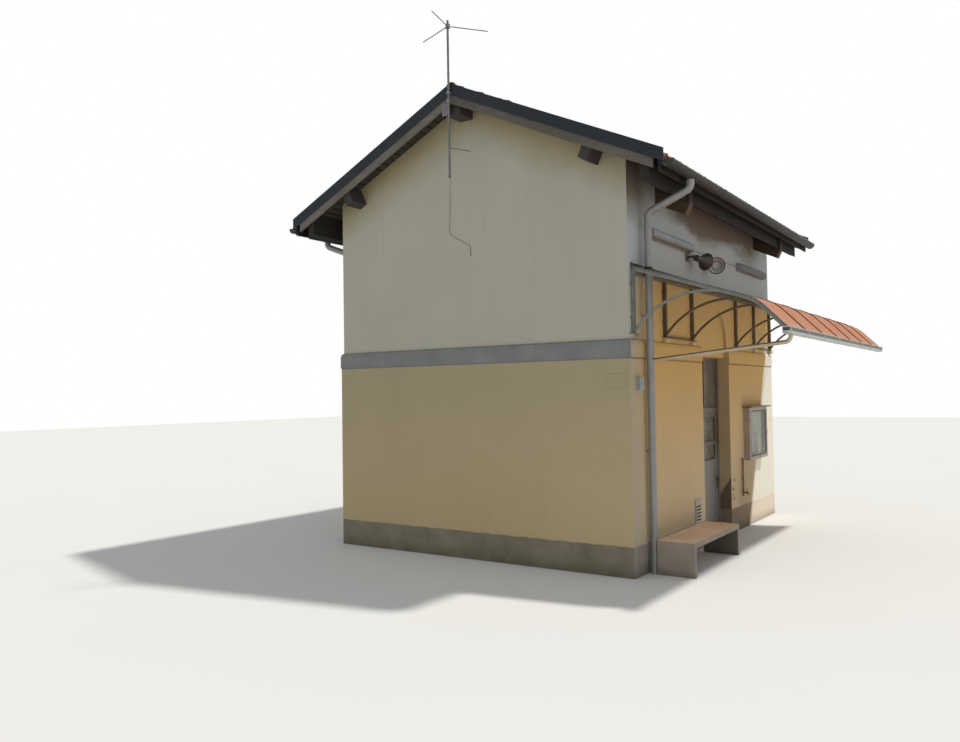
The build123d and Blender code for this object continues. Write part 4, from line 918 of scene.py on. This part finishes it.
def speaker_details():
    """Pale insides, rolled rims, rear drivers and wall brackets of the loudspeakers."""
    inside = Kit()
    rims = Kit()
    lean = math.radians(100)
    for x, degrees in ((2.18, 72), (3.1, -72)):
        turn = math.radians(degrees)
        axis = (math.sin(lean) * math.sin(turn), -math.sin(lean) * math.cos(turn), math.cos(lean))
        origin = (x, -0.12, 4.38)
        inside.turned([(0.096, 0.012), (0.1, 0.034), (0.13, 0.05), (0.175, 0.078), (0.226, 0.1185)], origin, axis,
            32, True, False)
        inside.turned([(0.1, 0.03), (0.13, 0.028), (0.165, 0.046), (0.19, 0.06), (0.192, 0.056), (0.17, 0.03),
            (0.16, 0.006)], origin, axis, 28)
        rims.turned([(0.222, 0.1285), (0.226, 0.1335), (0.233, 0.1335), (0.236, 0.1285), (0.233, 0.1205),
            (0.228, 0.1195)], origin, axis, 36, False, False)
        rims.turned([(-0.012, 0.03), (-0.006, 0.042), (0, 0.0465), (0.03, 0.0475), (0.036, 0.0475), (0.04, 0.0455)],
            origin, axis, 28)
        rims.turned([(-0.016, 0.01), (-0.012, 0.012), (-0.004, 0.012)], origin, axis, 12)
        rims.block((x - 0.06, 0.02, 4.345), (x + 0.06, 0.0295, 4.46), 0.003)
        rims.block((x - 0.055, -0.115, 4.33), (x + 0.055, -0.105, 4.345), 0.002)
        for side in (-0.055, 0.047):
            rims.prism([(-0.135, 4.33), (-0.09, 4.33), (-0.09, 4.4), (-0.112, 4.415), (-0.135, 4.4)], x + side,
                x + side + 0.008)
        for z in (4.36, 4.445):
            for side in (-0.045, 0.045):
                rims.stud((x + side, 0.02, z), OUT, 6, 0.007, 0.005, 0.008, 0.004)
        rims.tube([(x - 0.02, 0.012, 4.52), (x - 0.02, 0.01, 4.47), (x - 0.012, -0.04, 4.43), (x, -0.1, 4.425)],
            0.005)
    inside.done("horn_insides", "horn_inside", "speaker_metal", smooth=True)
    rims.done("horn_rims", "speaker_metal", smooth=True)


def notice_details():
    """Backing, inner frame, blank papers and hinges of the notice case."""
    backing = Kit().block((4.776, -0.034, 1.216), (5.744, -0.0278, 2.024), 0.001)
    backing.done("notice_backing", "plaster_patch", "notice_metal")
    inner = Kit().bars(-0.106, -0.098, 0.002, (4.776, 1.216, 4.816, 2.024), (5.694, 1.216, 5.744, 2.024),
        (4.816, 1.216, 5.694, 1.232), (4.816, 2.008, 5.694, 2.024))
    inner.done("notice_inner_frame", "notice_inner", "notice_metal")
    seed = random.Random(21)
    sheets = Kit()
    lilac = Kit()
    for kit, x0, z0, wide, high in ((sheets, 4.84, 1.26, 0.27, 0.36), (sheets, 4.84, 1.64, 0.27, 0.35),
            (lilac, 5.13, 1.25, 0.25, 0.35), (sheets, 5.4, 1.26, 0.27, 0.72), (sheets, 5.13, 1.62, 0.25, 0.37)):
        rows = []
        for v in range(7):
            places = []
            for u in range(5):
                curl = 0.016 * abs(v / 6 - 0.5) ** 2 + seed.uniform(0, 0.0008)
                if v == 0 and u in (0, 4):
                    curl += 0.006
                places.append(at(x0 + wide * u / 4, -0.0355 - curl, z0 + high * v / 6))
            rows.append(kit.row(places))
        kit.sheet(rows)
        for u in (0.06, 0.94):
            kit.turned([(0, 0.004), (0.003, 0.006), (0.006, 0.003)], (x0 + wide * u, -0.036, z0 + high * 0.96), OUT,
                8)
    sheets.done("blank_papers", "notice_paper", "notice_metal", smooth=True)
    lilac.done("blank_paper_lilac", "notice_paper_lilac", "notice_metal", smooth=True)
    trim = Kit()
    for z in (1.3, 1.92):
        trim.tube([(4.716, -0.104, z - 0.03), (4.716, -0.104, z + 0.03)], 0.006)
    trim.block((5.785, -0.116, 1.58), (5.803, -0.106, 1.64), 0.002)
    trim.prism([(0, 2.102), (-0.168, 2.101), (-0.172, 2.094), (-0.172, 2.08), (-0.168, 2.079), (-0.168, 2.098),
        (0, 2.0995)], 4.658, 5.862)
    trim.done("notice_trim", "notice_metal", smooth=True)


def edging(x0, z0, x1, z1, wide, inset=0):
    """Four bars round a pane, as rectangles for Kit.bars."""
    left = x0 + inset
    right = x1 - inset
    sides = [(x0, z0, x0 + wide, z1), (x1 - wide, z0, x1, z1)]
    return sides + [(left, z0, right, z0 + wide), (left, z1 - wide, right, z1)]


def door_details():
    """Beads round the door's panes and panels, and the lock's cylinder."""
    left = 3.08
    right = 3.812
    beads = Kit()
    beads.bars(0.199, 0.207, 0.002, *edging(left, 1.24, right, 1.5, 0.012), *edging(left, 1.54, right, 1.952, 0.012))
    beads.bars(0.204, 0.214, 0.003, *edging(left, 0.238, right, 1.11, 0.014))
    beads.prism([(0.2149, 0.638), (0.211, 0.643), (0.211, 0.663), (0.2149, 0.668)], left + 0.014, right - 0.014)
    beads.done("door_beads", "door_metal", body="door")
    lock = Kit()
    lock.stud((3.862, 0.199, 0.79), OUT, 20, 0.013, 0.004, 0.006, 0.01)
    lock.block((3.858, 0.19, 0.78), (3.866, 0.1945, 0.796), 0.001)
    for z in (0.752, 0.948):
        lock.stud((3.862, 0.199, z), OUT, 10, 0.005, 0.002, 0.003, 0.002)
    lock.done("lock_cylinder", "antenna_metal", "lock_metal", body="door", smooth=True)
    panel = Kit().bars(0.1965, 0.205, 0.002, (2.735, 0.13, 2.905, 0.145), (2.735, 2.015, 2.905, 2.03),
        (2.735, 0.145, 2.75, 2.015), (2.89, 0.145, 2.905, 2.015), (2.75, 1.23, 2.89, 1.245))
    panel.done("side_panel_beads", "door_metal")
    transom = Kit().bars(0.206, 0.222, 0.002, *edging(2.715, 2.105, 3.925, 2.885, 0.012, 0.012))
    transom.bars(0.204, 0.222, 0.002, (3.31, 2.117, 3.33, 2.873))
    transom.done("transom_beads", "door_metal")


def vent_details():
    """Ragged plaster round the vent and the mesh behind its slats."""
    seed = random.Random(9)
    patch = Kit()
    half_wide = 0.165
    half_high = 0.195
    outer = []
    lifted = []
    for step in range(40):
        turn = 2 * math.pi * step / 40
        reach = 1 / max(abs(math.cos(turn)) / half_wide, abs(math.sin(turn)) / half_high)
        away = reach * (1 + seed.uniform(-0.05, 0.12))
        for row, y, part in ((outer, -0.0002, 1), (lifted, -0.005, 0.95)):
            row.append(at(2.33 + math.cos(turn) * away * part, y, 0.58 + math.sin(turn) * away * part))
    patch.skin([patch.row(outer), patch.row(lifted)], cap_start=False)
    patch.done("vent_plaster", "plaster_patch", "wall_render")
    mesh = Kit()
    for step in range(5):
        foot = 0.435 + step * 0.05
        mesh.bars(-0.0174, -0.012, 0.001, (2.226, foot + 0.001, 2.324, foot + 0.024),
            (2.336, foot + 0.001, 2.434, foot + 0.024))
    mesh.done("vent_mesh", "vent_mesh", "vent_metal")


def wall_details():
    """Small things on the walls: tap parts, meter lid, cover plate on the gable and sill nosing."""
    tap = Kit()
    tap.turned([(0, 0.018), (0.006, 0.024), (0.03, 0.024), (0.036, 0.018)], (4.55, -0.062, 0.62), OUT, 16)
    tap.tube([(4.55, -0.108, 0.616), (4.55, -0.116, 0.606), (4.55, -0.116, 0.575)], 0.01, 12)
    tap.tube([(4.55, -0.085, 0.625), (4.55, -0.085, 0.672)], 0.006, 10)
    tap.block((4.515, -0.092, 0.668), (4.585, -0.078, 0.678), 0.003)
    for z in (0.84, 1.12):
        tap.turned([(0, 0.0165), (0.016, 0.0165)], (4.55, -0.026, z), UP, 16, False, False)
        tap.block((4.542, -0.014, z), (4.558, -0.0003, z + 0.016), 0.001)
    tap.done("tap_parts", "rusty_iron", smooth=True)
    lid = Kit().block((0.146, -0.064, 2.406), (0.274, -0.048, 2.574), 0.004, 2)
    lid.stud((0.21, -0.064, 2.505), OUT, 24, 0.03, 0.006, 0.01, 0.024)
    lid.block((0.196, -0.067, 2.425), (0.224, -0.062, 2.44), 0.002)
    lid.done("meter_lid", "box_plastic", smooth=True)
    cover = Kit()
    for z0, y0, z1, y1 in edging(2.44, 0.06, 2.63, 0.35, 0.012, 0.012):
        cover.block((-0.0035, y0, z0), (-0.0002, y1, z1), 0.001)
    cover.block((-0.0025, 0.074, 2.454), (-0.0002, 0.336, 2.616), 0.0008)
    cover.stud((-0.0025, 0.205, 2.535), LEFT, 12, 0.008, 0.003, 0.005, 0.003)
    cover.done("gable_cover_plate", "wall_render")
    sill = Kit().prism([(-0.024, 0.004), (-0.024, 0.086), (-0.02, 0.094), (-0.016, 0.0985), (0.18, 0.1012),
        (0.18, 0.0995), (-0.01, 0.0965), (-0.0195, 0.088), (-0.0195, 0.004)], 2.672, 3.968)
    sill.done("sill_nosing", "floor_concrete", "concrete")


def antenna_details():
    """Hub fins, clamp bolts and the wire that is pinned down the gable."""
    x = MAST_X
    y = WIDTH / 2
    kit = Kit()
    for z in (7.632, 7.682):
        kit.turned([(0, 0.033), (0.004, 0.036), (0.008, 0.033)], (x, y, z), UP, 24)
    kit.stud((x, y, 7.73), UP, 16, 0.017, 0.014, 0.02, 0.01)
    for z in (6.58, 6.7):
        for side in (-0.012, 0.012):
            kit.stud((x - 0.022, y + side, z), LEFT, 6, 0.005, 0.005, 0.007, 0.003)
    for z in (7.3, 6.95, 6.4, 6.1, 5.75):
        kit.turned([(0, 0.0165), (0.001, 0.0175), (0.017, 0.0175), (0.018, 0.0165)], (x, y, z), UP, 16, False, False)
    kit.turned([(0, 0.018), (0.004, 0.02), (0.036, 0.02), (0.04, 0.018)], (x, y, 5.478), UP, 16)
    kit.done("antenna_fittings", "antenna_metal", smooth=True)
    wire = Kit().tube([(x + 0.02, y, 7.62), (x + 0.0205, y, 7), (x + 0.0205, y - 0.002, 6.75)], 0.0035)
    face = FACE - 0.005
    on_wall = [(face, py, z) for py, z in ((2.86, 5.28), (2.872, 4.86), (2.872, 4.8), (2.85, 4.755), (2.54, 4.58),
        (2.505, 4.55), (2.5, 4.5), (2.5, 4.44))]
    wire.tube([(x + 0.01, y, 5.5), (-0.2, 2.69, 5.43), (face - 0.01, 2.855, 5.33)] + on_wall, 0.004)
    for py, z in ((2.861, 5.2), (2.872, 4.92), (2.5, 4.48)):
        wire.block((FACE - 0.011, py - 0.01, z - 0.005), (FACE - 0.0002, py + 0.01, z + 0.005), 0.002)
    wire.turned([(0, 0.016), (0.008, 0.014), (0.012, 0.007)], (FACE, 2.5, 4.43), LEFT, 16)
    wire.done("antenna_wire", "cable_grey", "antenna_metal", smooth=True)


def make_floor():
    data = bpy.data.meshes.new("floor")
    corners = [(x * FLOOR_SIZE, y * FLOOR_SIZE, 0) for x, y in ((-1, -1), (1, -1), (1, 1), (-1, 1))]
    data.from_pydata(corners, [], [(0, 1, 2, 3)])
    data.materials.append(MATERIALS["pale_floor"])
    add_object("floor", data)


def make_light():
    """Soft sky light, seen as plain white directly and in reflections, with one sun."""
    world = bpy.data.worlds.new("studio")
    bpy.context.scene.world = world
    world.use_nodes = True
    world.node_tree.nodes.clear()
    nodes = Nodes(world.node_tree)
    sky = nodes.node("ShaderNodeBackground", {"Color": [0.93, 0.96, 1, 1], "Strength": 0.46})[0]
    white = nodes.node("ShaderNodeBackground", {"Color": [1, 1, 1, 1]})[0]
    path = nodes.node("ShaderNodeLightPath", {})
    reflected = nodes.math("MAXIMUM", path["Is Glossy Ray"], path["Is Transmission Ray"])
    seen = nodes.math("MAXIMUM", path["Is Camera Ray"], reflected)
    both = nodes.node("ShaderNodeMixShader", {"Fac": seen, 1: sky, 2: white})[0]
    nodes.node("ShaderNodeOutputWorld", {"Surface": both})
    data = bpy.data.lights.new("key_light", "SUN")
    data.energy = 2.3
    data.angle = math.radians(3)
    data.color = (1, 0.96, 0.89)
    lamp = add_object("key_light", data)
    lamp.rotation_euler = Vector(SUN_DIRECTION).to_track_quat("-Z", "Y").to_euler()


def main():
    bpy.context.scene.view_settings.view_transform = "Standard"
    make_camera()
    make_light()
    make_floor()
    roof_covering("front_tile_courses", False, "front_roof_tiles")
    roof_covering("rear_tile_courses", True, "rear_roof_tiles")
    for add in (ridge_caps, mortar, eave_details, verge_details, pipe_details, canopy_sheet_details, canopy_fixings,
            lamp_details, speaker_details, notice_details, door_details, vent_details, wall_details,
            antenna_details):
        add()


main()
